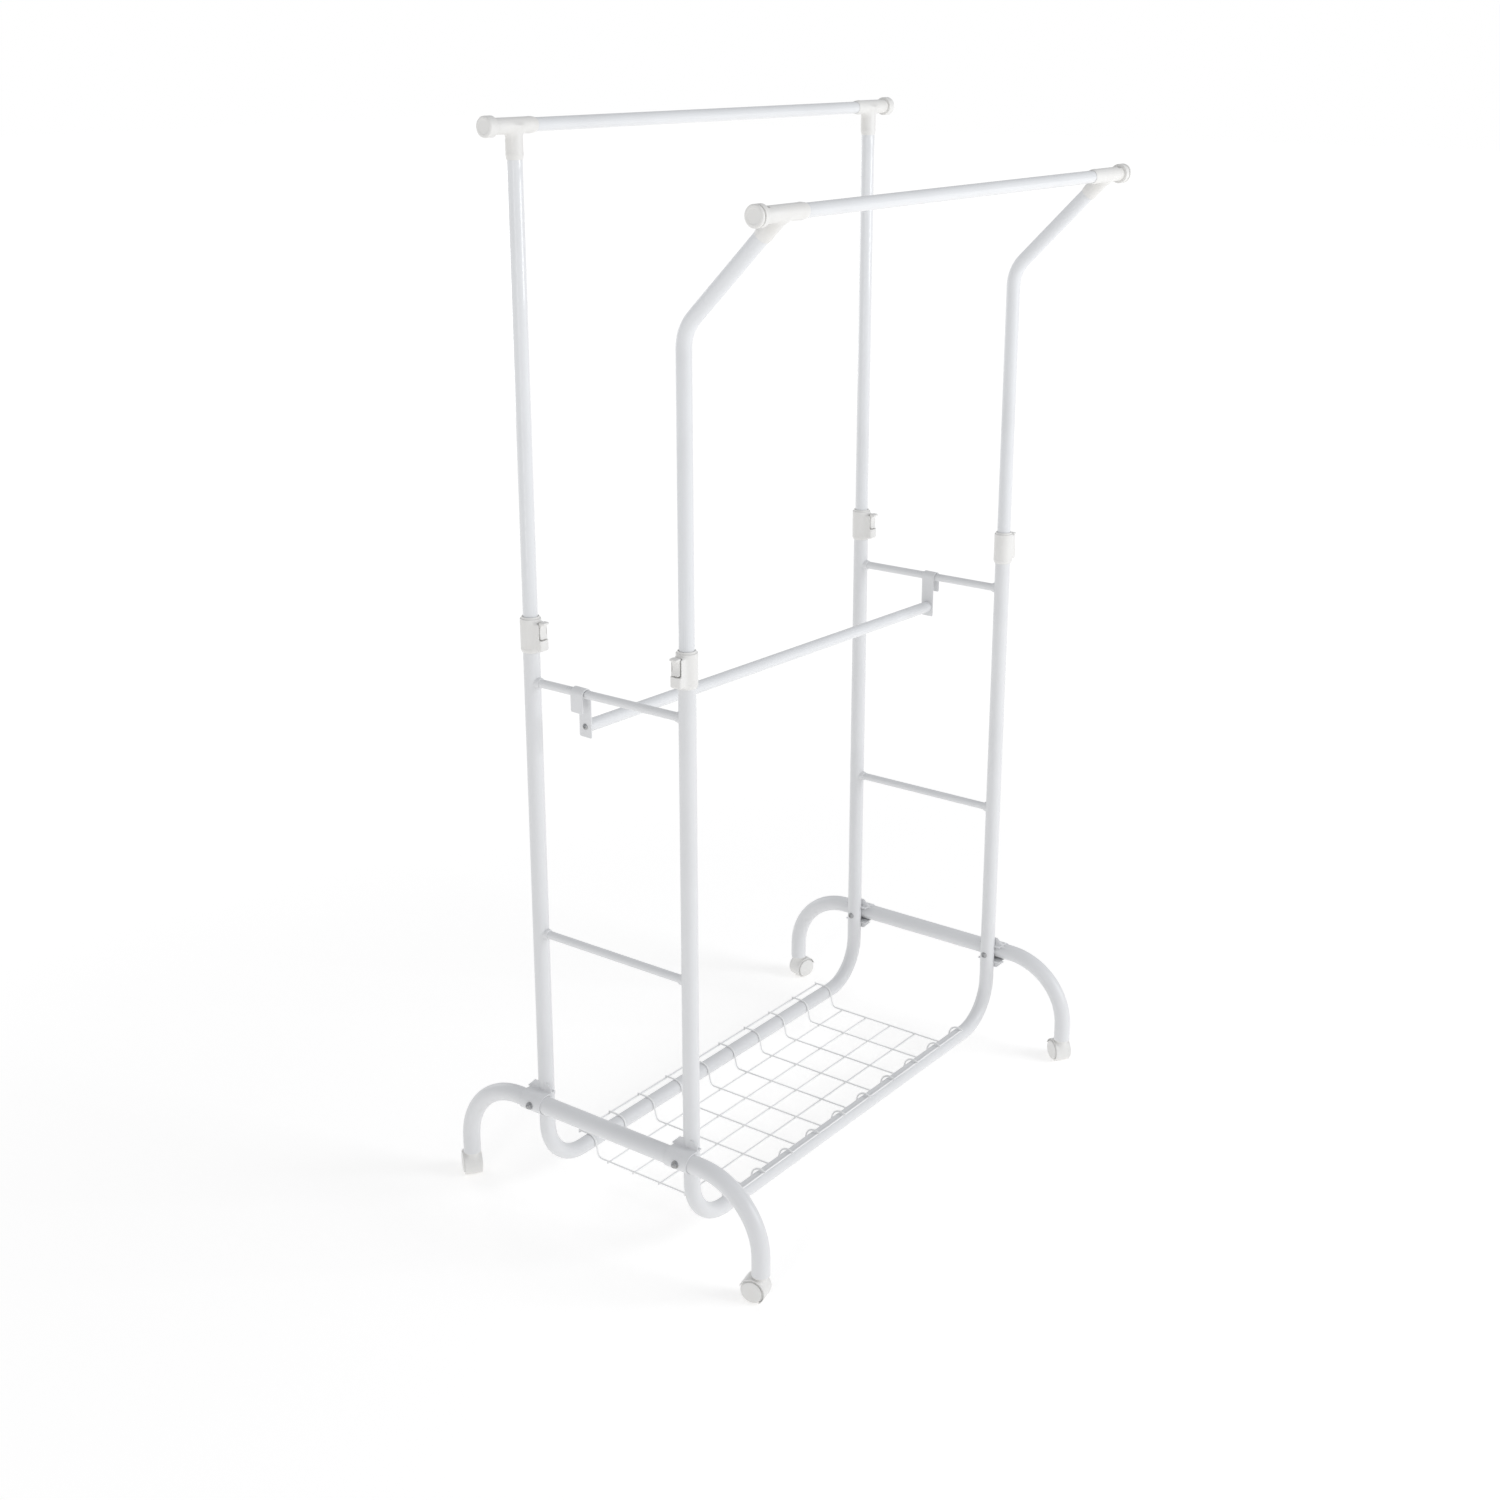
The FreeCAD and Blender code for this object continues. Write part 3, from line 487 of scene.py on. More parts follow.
# Linear colours
POWDER_WHITE = (0.735, 0.74, 0.75)
POWDER_SHADE = (0.67, 0.675, 0.685)
GLOSS_WHITE = (0.75, 0.76, 0.775)
WIRE_WHITE = (0.86, 0.865, 0.865)
PLASTIC_WHITE = (0.78, 0.772, 0.755)
PLASTIC_SHADE = (0.745, 0.73, 0.70)
CASTER_WHITE = (0.77, 0.765, 0.75)
SCUFF_GREY = (0.42, 0.415, 0.40)
ZINC = (0.40, 0.405, 0.415)
ZINC_WARM = (0.43, 0.42, 0.385)
RUBBED_GREY = (0.52, 0.53, 0.545)


def powder_coat(name, colour=POWDER_WHITE, roughness=0.30):
    """Stoved powder: fine orange peel over slow waves, slightly uneven gloss and shade."""
    surface = Surface(name, colour, roughness, coat=0.12)
    surface.cloud(9, 3, 0.45, 0.75, 0.35, POWDER_SHADE)
    surface.cloud(420, 2, 0.60, 0.80, 0.20, POWDER_SHADE)
    surface.roughen(surface.noise(26, 4), 0.12)
    surface.raise_by(surface.noise(620, 2), 0.035, 0.6)
    surface.raise_by(surface.noise(90, 1), 0.05, 0.35)
    return surface


def gloss_coat(name, coat):
    """Smoother lacquer: hardly any peel, a clear top layer, slow changes of gloss."""
    surface = Surface(name, GLOSS_WHITE, 0.30, coat=coat, coat_roughness=0.06, specular=0.3)
    surface.cloud(9, 3, 0.45, 0.75, 0.30, POWDER_SHADE)
    surface.roughen(surface.noise(26, 4), 0.06)
    surface.raise_by(surface.noise(45, 1), 0.02, 0.25)
    return surface


def tube_coat():
    return powder_coat("powder coat on tube").finish()


def rail_coat():
    """The smoother coat on the rails and the cross bar, with lengthwise streaks of hanger rub.
    """
    surface = gloss_coat("gloss coat on rail", 1.0)
    streaks = surface.ramp(surface.noise(900, 3, (0.02, 1, 1)), 0.60, 0.74)
    surface.tint(surface.math("MULTIPLY", streaks, 0.12), RUBBED_GREY)
    surface.roughen(streaks, 0.10)
    return surface.finish()


# Half the length that a strap hook rubs on its rung, and how far the rub fades out
RUB_HALF = 16.0
RUB_FADE = 20.0
# The sliding marks on the upper posts fade out between these heights
MARKS_FADE_FROM = 950.0
MARKS_END = 1200.0


def rung_coat(name, node, hook_node):
    """The coat on an upper rung, rubbed on its top where the strap hook slides."""
    surface = powder_coat(name)
    place = node_centre(hook_node).y * MM
    across = surface.band(surface.axis("Y"), place, RUB_HALF * MM, RUB_FADE * MM)
    top = (node_centre(node).z + RUNG_R * 0.45) * MM
    above = surface.ramp(surface.axis("Z"), top, top + 2 * MM)
    patches = surface.ramp(surface.noise(160, 5, (1, 6, 1)), 0.42, 0.62)
    rubbed = surface.math("MULTIPLY", surface.math("MULTIPLY", across, above), patches)
    surface.tint(surface.math("MULTIPLY", rubbed, 0.55), RUBBED_GREY)
    surface.roughen(rubbed, -0.12)
    return surface.finish()


def sliding_post_coat(name, coat):
    """The coat on an upper post, with faint lengthwise marks from sliding in the collar."""
    surface = gloss_coat(name, coat)
    marks = surface.ramp(surface.noise(1400, 2, (1, 1, 0.012)), 0.62, 0.74)
    low_end = surface.ramp(surface.axis("Z"), MARKS_FADE_FROM * MM, MARKS_END * MM, 1.0, 0.0)
    marks = surface.math("MULTIPLY", marks, low_end)
    surface.tint(surface.math("MULTIPLY", marks, 0.30), RUBBED_GREY)
    surface.roughen(marks, 0.15)
    return surface.finish()


def pressed_coat():
    """The coat on pressed steel, a little thicker and smoother, with extra darker patches at
    random.
    """
    surface = powder_coat("powder coat on pressed steel", roughness=0.33)
    surface.cloud(55, 4, 0.52, 0.80, 0.30, POWDER_SHADE)
    return surface.finish()


def wire_coat():
    surface = powder_coat("powder coat on wire", WIRE_WHITE, 0.36)
    surface.raise_by(surface.noise(1500, 1), 0.03, 0.5)
    return surface.finish()


def moulded_plastic(name, colour, roughness, grain=0.03):
    """Injection moulding: spark-eroded grain, slow flow shading, faint dust."""
    surface = Surface(name, colour, roughness, specular=0.45)
    surface.cloud(38, 3, 0.45, 0.80, 0.45, PLASTIC_SHADE)
    surface.cloud(700, 3, 0.62, 0.80, 0.12, SCUFF_GREY)
    surface.roughen(surface.noise(60, 3), 0.10)
    surface.raise_by(surface.noise(2300, 2), grain, 0.6)
    return surface


def fitting_plastic():
    return moulded_plastic("white fitting plastic", PLASTIC_WHITE, 0.36).finish()


def caster_plastic():
    """Caster plastic with fine random scuffs from the floor."""
    surface = moulded_plastic("white caster plastic", CASTER_WHITE, 0.30, 0.015)
    scuffs = surface.ramp(surface.noise(260, 6, (1, 1, 3.5), 0.7), 0.60, 0.70)
    surface.tint(surface.math("MULTIPLY", scuffs, 0.22), SCUFF_GREY)
    surface.roughen(scuffs, 0.22)
    surface.raise_by(scuffs, -0.03, 0.5)
    return surface.finish()


def zinc_plate():
    """Bright zinc: cloudy passivation, fine crystalline grain."""
    surface = Surface("zinc plate", ZINC, 0.24, metallic=1.0)
    surface.cloud(240, 3, 0.45, 0.72, 0.6, ZINC_WARM)
    surface.roughen(surface.noise(520, 4), 0.22)
    surface.raise_by(surface.noise(2600, 3), 0.02, 0.7)
    return surface.finish()


TUBE_COAT = tube_coat()
RAIL_COAT = rail_coat()
POST_COATS = {
    "rear": sliding_post_coat("gloss coat on rear posts", 1.0),
    "front": sliding_post_coat("satin coat on front posts", 0.0),
}
PRESSED_COAT = pressed_coat()
WIRE_COAT = wire_coat()
PLASTIC = fitting_plastic()
CASTER = caster_plastic()
ZINC_PLATE = zinc_plate()

# ---- CAD nodes whose shape is kept ----


def paint(node, material):
    mesh = frame["nodes"][node].data
    mesh.materials.clear()
    mesh.materials.append(material)


def paint_frame():
    for end in ("rear", "front"):
        paint(end + "_u_tube", TUBE_COAT)
        paint(end + "_rail", RAIL_COAT)
        for side in SIDES:
            paint(f"{end}_{side}_upper_post", POST_COATS[end])
    for side in SIDES:
        paint(side + "_leg_tube", TUBE_COAT)
        paint(side + "_lower_rung", TUBE_COAT)
        upper = side + "_upper_rung"
        paint(upper, rung_coat("powder coat on " + side + " upper rung", upper, side + "_hook"))
    paint("cross_bar_tube", RAIL_COAT)
    paint("cross_bar_plugs", PLASTIC)
    for corner in CORNERS:
        paint(corner + "_caster_axle", ZINC_PLATE)
        paint(corner + "_caster_stem", ZINC_PLATE)


# ---- Rails: T connectors, caps and rings ----

SLEEVE_R = 11.1
SLEEVE_LIP_R = 10.2
BRANCH_R = 12.2
BRANCH_LIP_R = 11.5
TAPER = 7.0
TEE_FILLET = 7.0
NOTCH_LENGTH = 9.0
NOTCH_HALF = 5.5
FRONT_BRANCH = 43.0
RAILS = {"rear": (REAR_Y, REAR_RAIL_Z), "front": (FRONT_RAIL_Y, FRONT_RAIL_Z)}


def tee_field(p, outer, inner, branch, direction, notch):
    """Sleeve along X with its far end at -inner, and a branch down to the post."""
    sleeve = turned_rod(
        p,
        (0, 0, 0),
        (1, 0, 0),
        [
            (-inner, SLEEVE_LIP_R),
            (-inner + TAPER, SLEEVE_R + 0.1),
            (-inner + TAPER + 3, SLEEVE_R + 0.35),
            (-inner + TAPER + 8, SLEEVE_R),
            (outer, SLEEVE_R),
        ],
        0.5,
    )
    stem = turned_rod(
        p,
        (0, 0, 0),
        direction,
        [
            (0, BRANCH_R),
            (branch - TAPER - 4, BRANCH_R),
            (branch - TAPER, BRANCH_R + 0.3),
            (branch, BRANCH_LIP_R),
        ],
        0.5,
    )
    body = join(sleeve, stem, TEE_FILLET)
    rail = rod(p, (-2 * inner, 0, 0), (1, 0, 0), 4 * inner, RAIL_R, 0)
    post = rod(p, np.array(direction) * RAIL_R, direction, 2 * branch, UPPER_POST_R, 0)
    body = cut(cut(body, rail, 0.5), post, 0.5)
    if notch:
        low = (outer - NOTCH_LENGTH, -NOTCH_HALF, RAIL_R - 1)
        slot = block(p, low, (outer + 2, NOTCH_HALF, 2 * SLEEVE_R), 0.5)
        body = cut(body, slot, 0.6)
    return body


def tee_mesh(name, outer, inner, branch, direction, notch):
    around_sleeve, around_stem = 14, 10
    reach = np.array(direction) * branch
    low = [-inner] + [min(-around_sleeve, end - around_stem) for end in reach[1:]]
    high = [outer] + [max(around_sleeve, end + around_stem) for end in reach[1:]]

    def field(p):
        return tee_field(p, outer, inner, branch, direction, notch)

    return skin(name, low, high, 0.45, field, 0.22)


def build_tees():
    down_post = (0, 0, -1)
    down_arm = (0, math.sqrt(0.5), -math.sqrt(0.5))
    rear_branch = REAR_RAIL_Z - node_box("rear_right_tee")[0].z
    mirror = Matrix.Diagonal((-1, 1, 1, 1))
    for end, branch, direction, notch in (
        ("rear", rear_branch, down_post, False),
        ("front", FRONT_BRANCH, down_arm, True),
    ):
        low, high = node_box(end + "_right_tee")
        outer, inner = high.x - HALF_X, HALF_X - abs(low.x)
        right = tee_mesh(end + "_tee", outer, inner, branch, direction, notch)
        for side, sign in SIDES.items():
            node = f"{end}_{side}_tee"
            mesh = right.copy()
            if sign < 0:
                mesh.transform(mirror)
                mesh.flip_normals()
            place = move(sign * HALF_X, *RAILS[end])
            body = end + "_upper_frame"
            add_piece(node + "_moulding", mesh, body, node, PLASTIC, place)


def paired(shape, y, z, start_x):
    """The same turned shape at both ends of a rail, pointing outwards."""
    return [placed(shape, aim((sign * start_x, y, z), (sign, 0, 0))) for sign in (-1, 1)]


def cap_profile(length, radius):
    """A cap over the rail's end, with a soft rim round its slightly sunk face."""
    return [
        (length - 2.2, 0, 0),
        (length - 2.2, RAIL_R + 0.1, 0),
        (0, RAIL_R + 0.1, 0),
        (0, radius, 0.9),
        (length * 0.5, radius + 0.05, 3),
        (length - 0.2, radius, min(2.4, length * 0.42)),
        (length, radius * 0.72, 1.2),
        (length - 0.5, radius * 0.64, 1.2),
        (length - 0.5, 0, 0),
    ]


def ring_profile(length):
    """A ring on a thinner neck, which leaves a groove on each side of it."""
    groove, neck, ring = 2.4, 10.2, 14.8
    return [
        (0, RAIL_R + 0.1, 0),
        (0, neck, 0.3),
        (groove, neck, 0.3),
        (groove, ring, 0.8),
        (length - groove, ring, 0.8),
        (length - groove, neck, 0.3),
        (length, neck, 0.3),
        (length, RAIL_R + 0.1, 0),
    ]


def build_caps():
    rear_length, rear_r = 15.0, 14.4
    front_length, front_r = 5.0, 14.8
    ring_length = 13.8
    rear = lathe(cap_profile(rear_length, rear_r), 72)
    front = lathe(cap_profile(front_length, front_r), 72)
    ring = lathe(ring_profile(ring_length), 72, closed=True)
    for end, kind, shape, length in (
        ("rear", "caps", rear, rear_length),
        ("front", "caps", front, front_length),
        ("front", "rings", ring, front_length + ring_length),
    ):
        name = f"{end}_{kind}"
        mesh = joined(name, paired(shape, *RAILS[end], RAIL_END_X - length))
        node = f"{end}_end_{kind}"
        body = end + "_upper_frame"
        add_piece(name, smooth(outward(mesh), 40), body, node, PLASTIC)


# ---- Lock collars and buttons ----

COLLAR_R = 15.5
COLLAR_FOOT_R = 13.6
COLLAR_FOOT_H = 4.2
COLLAR_LIP_R = 13.2
SEAM_Z = 7.2
LOBE_REACH = 27.0
LOBE_HALF = 9.5
POCKET_HALF = 7.9
POCKET_BACK = 17.6
CHEEK_REACH = 23.6
BUTTON_BACK = 22.0
BUTTON_FACE = 28.6
BUTTON_HALF = 6.6
BROW_H = 3.4
BROW_REACH = 2.4


def collar_field(p):
    """Local Z starts at the collar's base; the lobe points along +X."""
    top = BUTTON_TOP_Z - COLLAR_BASE_Z + 3
    floor = BUTTON_BASE_Z - COLLAR_BASE_Z - 1.4
    outside = 3 * LOBE_REACH
    stations = [(0, COLLAR_FOOT_R), (COLLAR_FOOT_H, COLLAR_R), (top, COLLAR_R)]
    sleeve = turned_rod(p, (0, 0, 0), (0, 0, 1), stations, 0.9)
    lobe_low = (0, -LOBE_HALF, COLLAR_FOOT_H)
    lobe = block(p, lobe_low, (LOBE_REACH, LOBE_HALF, top - 4), 3.6)
    body = join(sleeve, lobe, 4.5)
    lip = rod(p, (0, 0, top - 2), (0, 0, 1), 5, COLLAR_LIP_R, 0.7)
    body = join(body, lip, 0.8)
    pocket_low = (POCKET_BACK, -POCKET_HALF, floor)
    pocket = block(p, pocket_low, (outside, POCKET_HALF, 3 * top), 3.4)
    body = cut(body, pocket, 0.7)
    above_low = (CHEEK_REACH, -3 * LOBE_HALF, floor)
    above = block(p, above_low, (outside, 3 * LOBE_HALF, 3 * top), 0.5)
    body = cut(body, above, 1.2)
    lower = rod(p, (0, 0, -top), (0, 0, 1), top + 48, POST_R, 0)
    upper = rod(p, (0, 0, 0), (0, 0, 1), 3 * top, UPPER_POST_R + 0.4, 0)
    body = cut(cut(body, lower, 0.5), upper, 0.8)
    seam = rod(p, (0, 0, SEAM_Z), (0, 0, 1), 0.5, COLLAR_R + 0.2, 0)
    groove = cut(seam, rod(p, (0, 0, 6), (0, 0, 1), 4, COLLAR_R - 0.35, 0), 0.05)
    return cut(body, groove, 0.3)


def button_field(p):
    """Local Z starts at the button's base; its thumb face points along +X."""
    height = BUTTON_TOP_Z - BUTTON_BASE_Z
    high = (BUTTON_FACE - 1.2, BUTTON_HALF, height)
    body = block(p, (BUTTON_BACK - 4, -BUTTON_HALF, 0), high, 2.2)
    body = np.maximum(body, BUTTON_BACK - p[0])
    hollow_r, hollow_depth, reach = 24.0, 4.2, 20
    middle_x = BUTTON_FACE + hollow_r - hollow_depth
    start = (middle_x, -reach, (height - BROW_H) / 2)
    body = cut(body, rod(p, start, (0, 1, 0), 2 * reach, hollow_r, 0), 1.2)
    brow_low = (BUTTON_BACK, -BUTTON_HALF, height - BROW_H)
    brow = block(p, brow_low, (BUTTON_FACE + BROW_REACH, BUTTON_HALF, height), 1.1)
    return join(body, brow, 1.4)


def build_locks():
    collar_low = (-COLLAR_R, -COLLAR_R, 0)
    collar_high = (LOBE_REACH, COLLAR_R, BUTTON_TOP_Z - COLLAR_BASE_Z + 6)
    collar = skin("lock_collar", collar_low, collar_high, 0.45, collar_field, 0.3)
    button_low = (BUTTON_BACK, -7, 0)
    button_high = (BUTTON_FACE + 3, 7, BUTTON_TOP_Z - BUTTON_BASE_Z)
    button = skin("lock_button", button_low, button_high, 0.25, button_field, 0.35)
    for corner, (sign, y) in CORNERS.items():
        press = RECORD_JOINTS[corner + "_lock_button_press"]["axis"]
        facing = math.atan2(-press[1], -press[0])
        for part, mesh, base, body in (
            ("lock_collar", collar, COLLAR_BASE_Z, "base"),
            ("lock_button", button, BUTTON_BASE_Z, corner + "_lock_button_body"),
        ):
            node = f"{corner}_{part}"
            place = move(sign * HALF_X, y, base) @ turn_z(facing)
            add_piece(node + "_moulding", mesh, body, node, PLASTIC, place)


# ---- Saddle brackets, bolts and nuts ----

SHEET = 1.8
WING_PLANE = 10.0
WING_HALF = 29.0
WING_CHAMFER = 15.0
NARROW_END = 20.0
NARROW_CHAMFER = 7.0
WRAP_WIDE = 23.0
FLANGE_START = 1.0
WRAP_R = LEG_R + SHEET
LEG_OFFSET = LEG_X - HALF_X
BOLT_HOLE_R = 3.2


def bracket_field(p):
    """Pressed saddle: the post at the local Z axis, the leg along Y at +X."""
    far = 2 * WING_HALF
    _, y, z = p
    wrap_length = WRAP_WIDE + NARROW_END
    wrap = rod(p, (LEG_OFFSET, -WRAP_WIDE, 0), (0, 1, 0), wrap_length, WRAP_R, 0.3)
    channel_low = (FLANGE_START, -WRAP_WIDE, -WRAP_R)
    channel = block(p, channel_low, (LEG_OFFSET, NARROW_END, WRAP_R), 0.9)
    wing_low = (WING_PLANE, -WING_HALF, -WING_HALF)
    wing = block(p, wing_low, (WING_PLANE + SHEET, NARROW_END, WING_HALF), 0.4)
    wide_slant = (abs(z) - y - (2 * WING_HALF - WING_CHAMFER)) * math.sqrt(0.5)
    narrow_slant = (abs(z) + y - (WING_HALF + NARROW_END - NARROW_CHAMFER)) * math.sqrt(0.5)
    wing = cut(cut(wing, -wide_slant, 0.6), -narrow_slant, 0.6)
    body = join(join(wrap, channel, 0.5), wing, 2.4)
    leg = rod(p, (LEG_OFFSET, -far, 0), (0, 1, 0), 2 * far, LEG_R, 0)
    slot = block(p, (-far, -far, -LEG_R), (LEG_OFFSET, far, LEG_R), 0)
    post = rod(p, (0, 0, -far), (0, 0, 1), 2 * far, POST_R, 0)
    body = cut(cut(body, np.minimum(leg, slot), 0.3), post, 0.6)
    hole = rod(p, (0, 0, 0), (1, 0, 0), 3 * LEG_OFFSET, BOLT_HOLE_R, 0)
    return cut(body, hole, 0.4)


def hexagon(p, half_flat, low, high, edge):
    """A hexagonal prism about the X axis."""
    x, y, z = p
    sides = [
        abs(y * math.cos(angle) + z * math.sin(angle)) - half_flat
        for angle in (0, math.pi / 3, 2 * math.pi / 3)
    ]
    around = np.maximum(np.maximum(sides[0], sides[1]), sides[2])
    return round_edge(around, abs(x - (low + high) / 2) - (high - low) / 2, edge)


def ball(p, centre_x, radius):
    return np.sqrt((p[0] - centre_x) ** 2 + p[1] ** 2 + p[2] ** 2) - radius


def bolt_field(p):
    """Button head with a hexagonal socket; its face points along -X, its underside at x = 0."""
    dome_r = 6.9
    head = rod(p, (-3.2, 0, 0), (1, 0, 0), 4.6, 5.5, 0.5)
    head = -join(-head, -ball(p, dome_r - 3.4, dome_r), 0.4)
    post = rod(p, (POST_R, 0, -20), (0, 0, 1), 40, POST_R, 0)
    head = cut(head, post, 0.1)
    socket = hexagon(p, 1.95, -6.0, -1.5, 0.05)
    return cut(head, socket, 0.25)


def nut_field(p):
    """Flanged dome nut on the leg's far side; x = 0 is the bracket's surface."""
    flange = rod(p, (-2.0, 0, 0), (1, 0, 0), 3.4, 6.0, 0.35)
    flats = hexagon(p, 4.7, 0, 3.6, 0.4)
    body = join(join(flange, flats, 0.3), ball(p, 3.0, 4.35), 0.35)
    saddle = rod(p, (-WRAP_R, -20, 0), (0, 1, 0), 40, WRAP_R, 0)
    return cut(body, saddle, 0.1)


def build_crossings():
    low = (FLANGE_START, -WING_HALF, -WING_HALF)
    high = (LEG_OFFSET + WRAP_R, NARROW_END, WING_HALF)
    bracket = skin("saddle_bracket", low, high, 0.42, bracket_field, 0.25)
    bolt = skin("bolt_head", (-3.6, -5.8, -5.8), (2.2, 5.8, 5.8), 0.16, bolt_field, 0.4)
    nut = skin("dome_nut", (-2.2, -6.2, -6.2), (7.6, 6.2, 6.2), 0.18, nut_field, 0.4)
    bolts, nuts = [], []
    for corner, (sign, y) in CORNERS.items():
        place = move(sign * HALF_X, y, LEG_Z)
        if sign < 0:
            place = place @ turn_z(math.pi)
        node = corner + "_bracket"
        name = node + "_pressing"
        add_piece(name, bracket, "base", node, PRESSED_COAT, place)
        bolts.append(place @ move(-POST_R, 0, 0))
        nuts.append(place @ move(LEG_OFFSET + WRAP_R, 0, 0))
    for name, mesh, places, node in (
        ("bolt_heads", bolt, bolts, "frame_bolts"),
        ("dome_nuts", nut, nuts, "frame_dome_nuts"),
    ):
        group = repeated(name, mesh, places)
        add_piece(name, group, "base", node, ZINC_PLATE)


def repeated(name, mesh, places):
    """One mesh holding a copy of another at each place."""
    count = len(mesh.vertices)
    flat = np.empty(count * 3, np.float32)
    mesh.vertices.foreach_get("co", flat)
    points = flat.reshape(-1, 3) / MM
    faces = [tuple(face.vertices) for face in mesh.polygons]
    shapes = [placed((points, faces), place) for place in places]
    return smooth(outward(joined(name, shapes)), 50)


# ---- Rung collars ----


def build_rung_collars():
    """Small rings where each rung meets its post, with a soft weld at the post."""
    reach = POST_R + 5.0
    ring_r = 8.0
    start = POST_R - 4.5
    profile = [
        (start, RUNG_R, 0),
        (start, ring_r + 0.9, 0.6),
        (POST_R + 1.4, ring_r + 0.2, 1.0),
        (reach, ring_r - 0.2, 1.2),
        (reach, RUNG_R, 0),
    ]
    shape = lathe(profile, 40, closed=True)
    shapes = []
    for sign, y in CORNERS.values():
        inward = math.copysign(1, (REAR_Y + FRONT_Y) / 2 - y)
        for z in (LOWER_RUNG_Z, UPPER_RUNG_Z):
            points, faces = placed(shape, aim((sign * HALF_X, y, z), (0, inward, 0)))
            across = points[:, 0] - sign * HALF_X
            # The ring's end follows the post, just inside its wall
            wall = np.sqrt((POST_R - 0.5) ** 2 - across**2)
            points[:, 1] = y + inward * np.maximum(inward * (points[:, 1] - y), wall)
            shapes.append((points, faces))
    mesh = smooth(outward(joined("rung_rings", shapes)), 40)
    add_piece("rung_rings", mesh, "base", "rung_collars", TUBE_COAT)


# ---- Wire shelf ----

WIRE_COUNT = 10
LONG_COUNT = 5
LONG_PITCH = 53.0
WELD_BITE = 0.04
LEG_SLOPE = math.radians(12)
SHELF_BEND_R = 9.0
REAR_TAIL = 22.0
FRONT_TAIL = 3.0
FRONT_HOOK = math.radians(117)


def hook_corners(radius, start, tail, drop):
    """Outer end, crest and foot of one wire hook: inwards from the tube's axis, and up."""
    middle = (start + LEG_SLOPE) / 2
    corner = radius / math.cos((start - LEG_SLOPE) / 2)
    fall = (radius * math.sin(LEG_SLOPE) - drop) / math.cos(LEG_SLOPE)
    return [
        (
            radius * math.cos(start) - tail * math.sin(start),
            radius * math.sin(start) + tail * math.cos(start),
        ),
        (corner * math.cos(middle), corner * math.sin(middle)),
        (radius * math.cos(LEG_SLOPE) + fall * math.sin(LEG_SLOPE), drop),
    ]


def cross_wire_path(flat_z):
    rear_r = POST_R + WIRE_R + WELD_BITE
    front_r = rear_r + 2 * WIRE_R - WELD_BITE
    drop = flat_z - BOTTOM_TUBE_Z
    rear = hook_corners(rear_r, math.pi / 2, REAR_TAIL, drop)
    front = hook_corners(front_r, FRONT_HOOK, FRONT_TAIL, drop)
    corners = [(REAR_Y - u, BOTTOM_TUBE_Z + v) for u, v in rear]
    corners += [(FRONT_Y + u, BOTTOM_TUBE_Z + v) for u, v in reversed(front)]
    radii = [0, rear_r, SHELF_BEND_R, SHELF_BEND_R, front_r, 0]
    return rounded([(y, z, r) for (y, z), r in zip(corners, radii)], 9)


def shelf_long_places(flat_z):
    """(y, z) of the wires that run along the shelf."""
    step = 2 * WIRE_R - WELD_BITE
    centre_y = (REAR_Y + FRONT_Y) / 2
    seat_r = POST_R + WIRE_R + WELD_BITE
    places = []
    for index in range(LONG_COUNT):
        places.append((centre_y + LONG_PITCH * (index - (LONG_COUNT - 1) / 2), flat_z - step))
    places.append((REAR_Y + REAR_TAIL - WIRE_R, BOTTOM_TUBE_Z + seat_r - step))
    across, up = math.cos(FRONT_HOOK), math.sin(FRONT_HOOK)
    places.append((FRONT_Y + seat_r * across, BOTTOM_TUBE_Z + seat_r * up))
    return places


def build_shelf():
    flat_z = node_box("shelf_cross_wires")[0].z + WIRE_R
    first = -(SHELF_X - WIRE_R)
    pitch = -2 * first / (WIRE_COUNT - 1)
    columns = [first + pitch * index for index in range(WIRE_COUNT)]
    path = cross_wire_path(flat_z)
    cross = [wire([(x, y, z) for y, z in path], WIRE_R, (1, 0, 0)) for x in columns]
    long_reach = node_box("shelf_long_wires")[1].x
    rows = shelf_long_places(flat_z)
    along = []
    for y, z in rows:
        ends = [(-long_reach, y, z), (0, y, z), (long_reach, y, z)]
        along.append(wire(ends, WIRE_R, (0, 1, 0)))
    nugget = lathe([(-1.5, 0, 0), (-0.9, 1.25, 0.7), (0.9, 1.25, 0.7), (1.5, 0, 0)], 12, steps=2)
    flatten = Matrix.Diagonal((1.35, 1.35, 0.9, 1))
    welds = []
    for y, z in rows[:LONG_COUNT]:
        for x in columns:
            welds.append(placed(nugget, move(x, y, z + WIRE_R) @ flatten))
    for name, shapes, node in (
        ("shelf_crosswise_wires", cross, "shelf_cross_wires"),
        ("shelf_lengthwise_wires", along + welds, "shelf_long_wires"),
    ):
        mesh = smooth(joined(name, shapes), 45)
        add_piece(name, mesh, "base", node, WIRE_COAT)


# ---- Casters ----

TRAIL = 9.0
HOOD_R = 20.6
HOOD_ROOM_R = 19.1
HOOD_HALF = 14.5
WEB_HALF = 1.5
BOSS_TOP = 41.2
AXLE_BORE_R = 2.1
WHEEL_BORE_R = 2.05
STEM_BORE_R = 4.05
HOOD_SKIRT_Z = 2.2


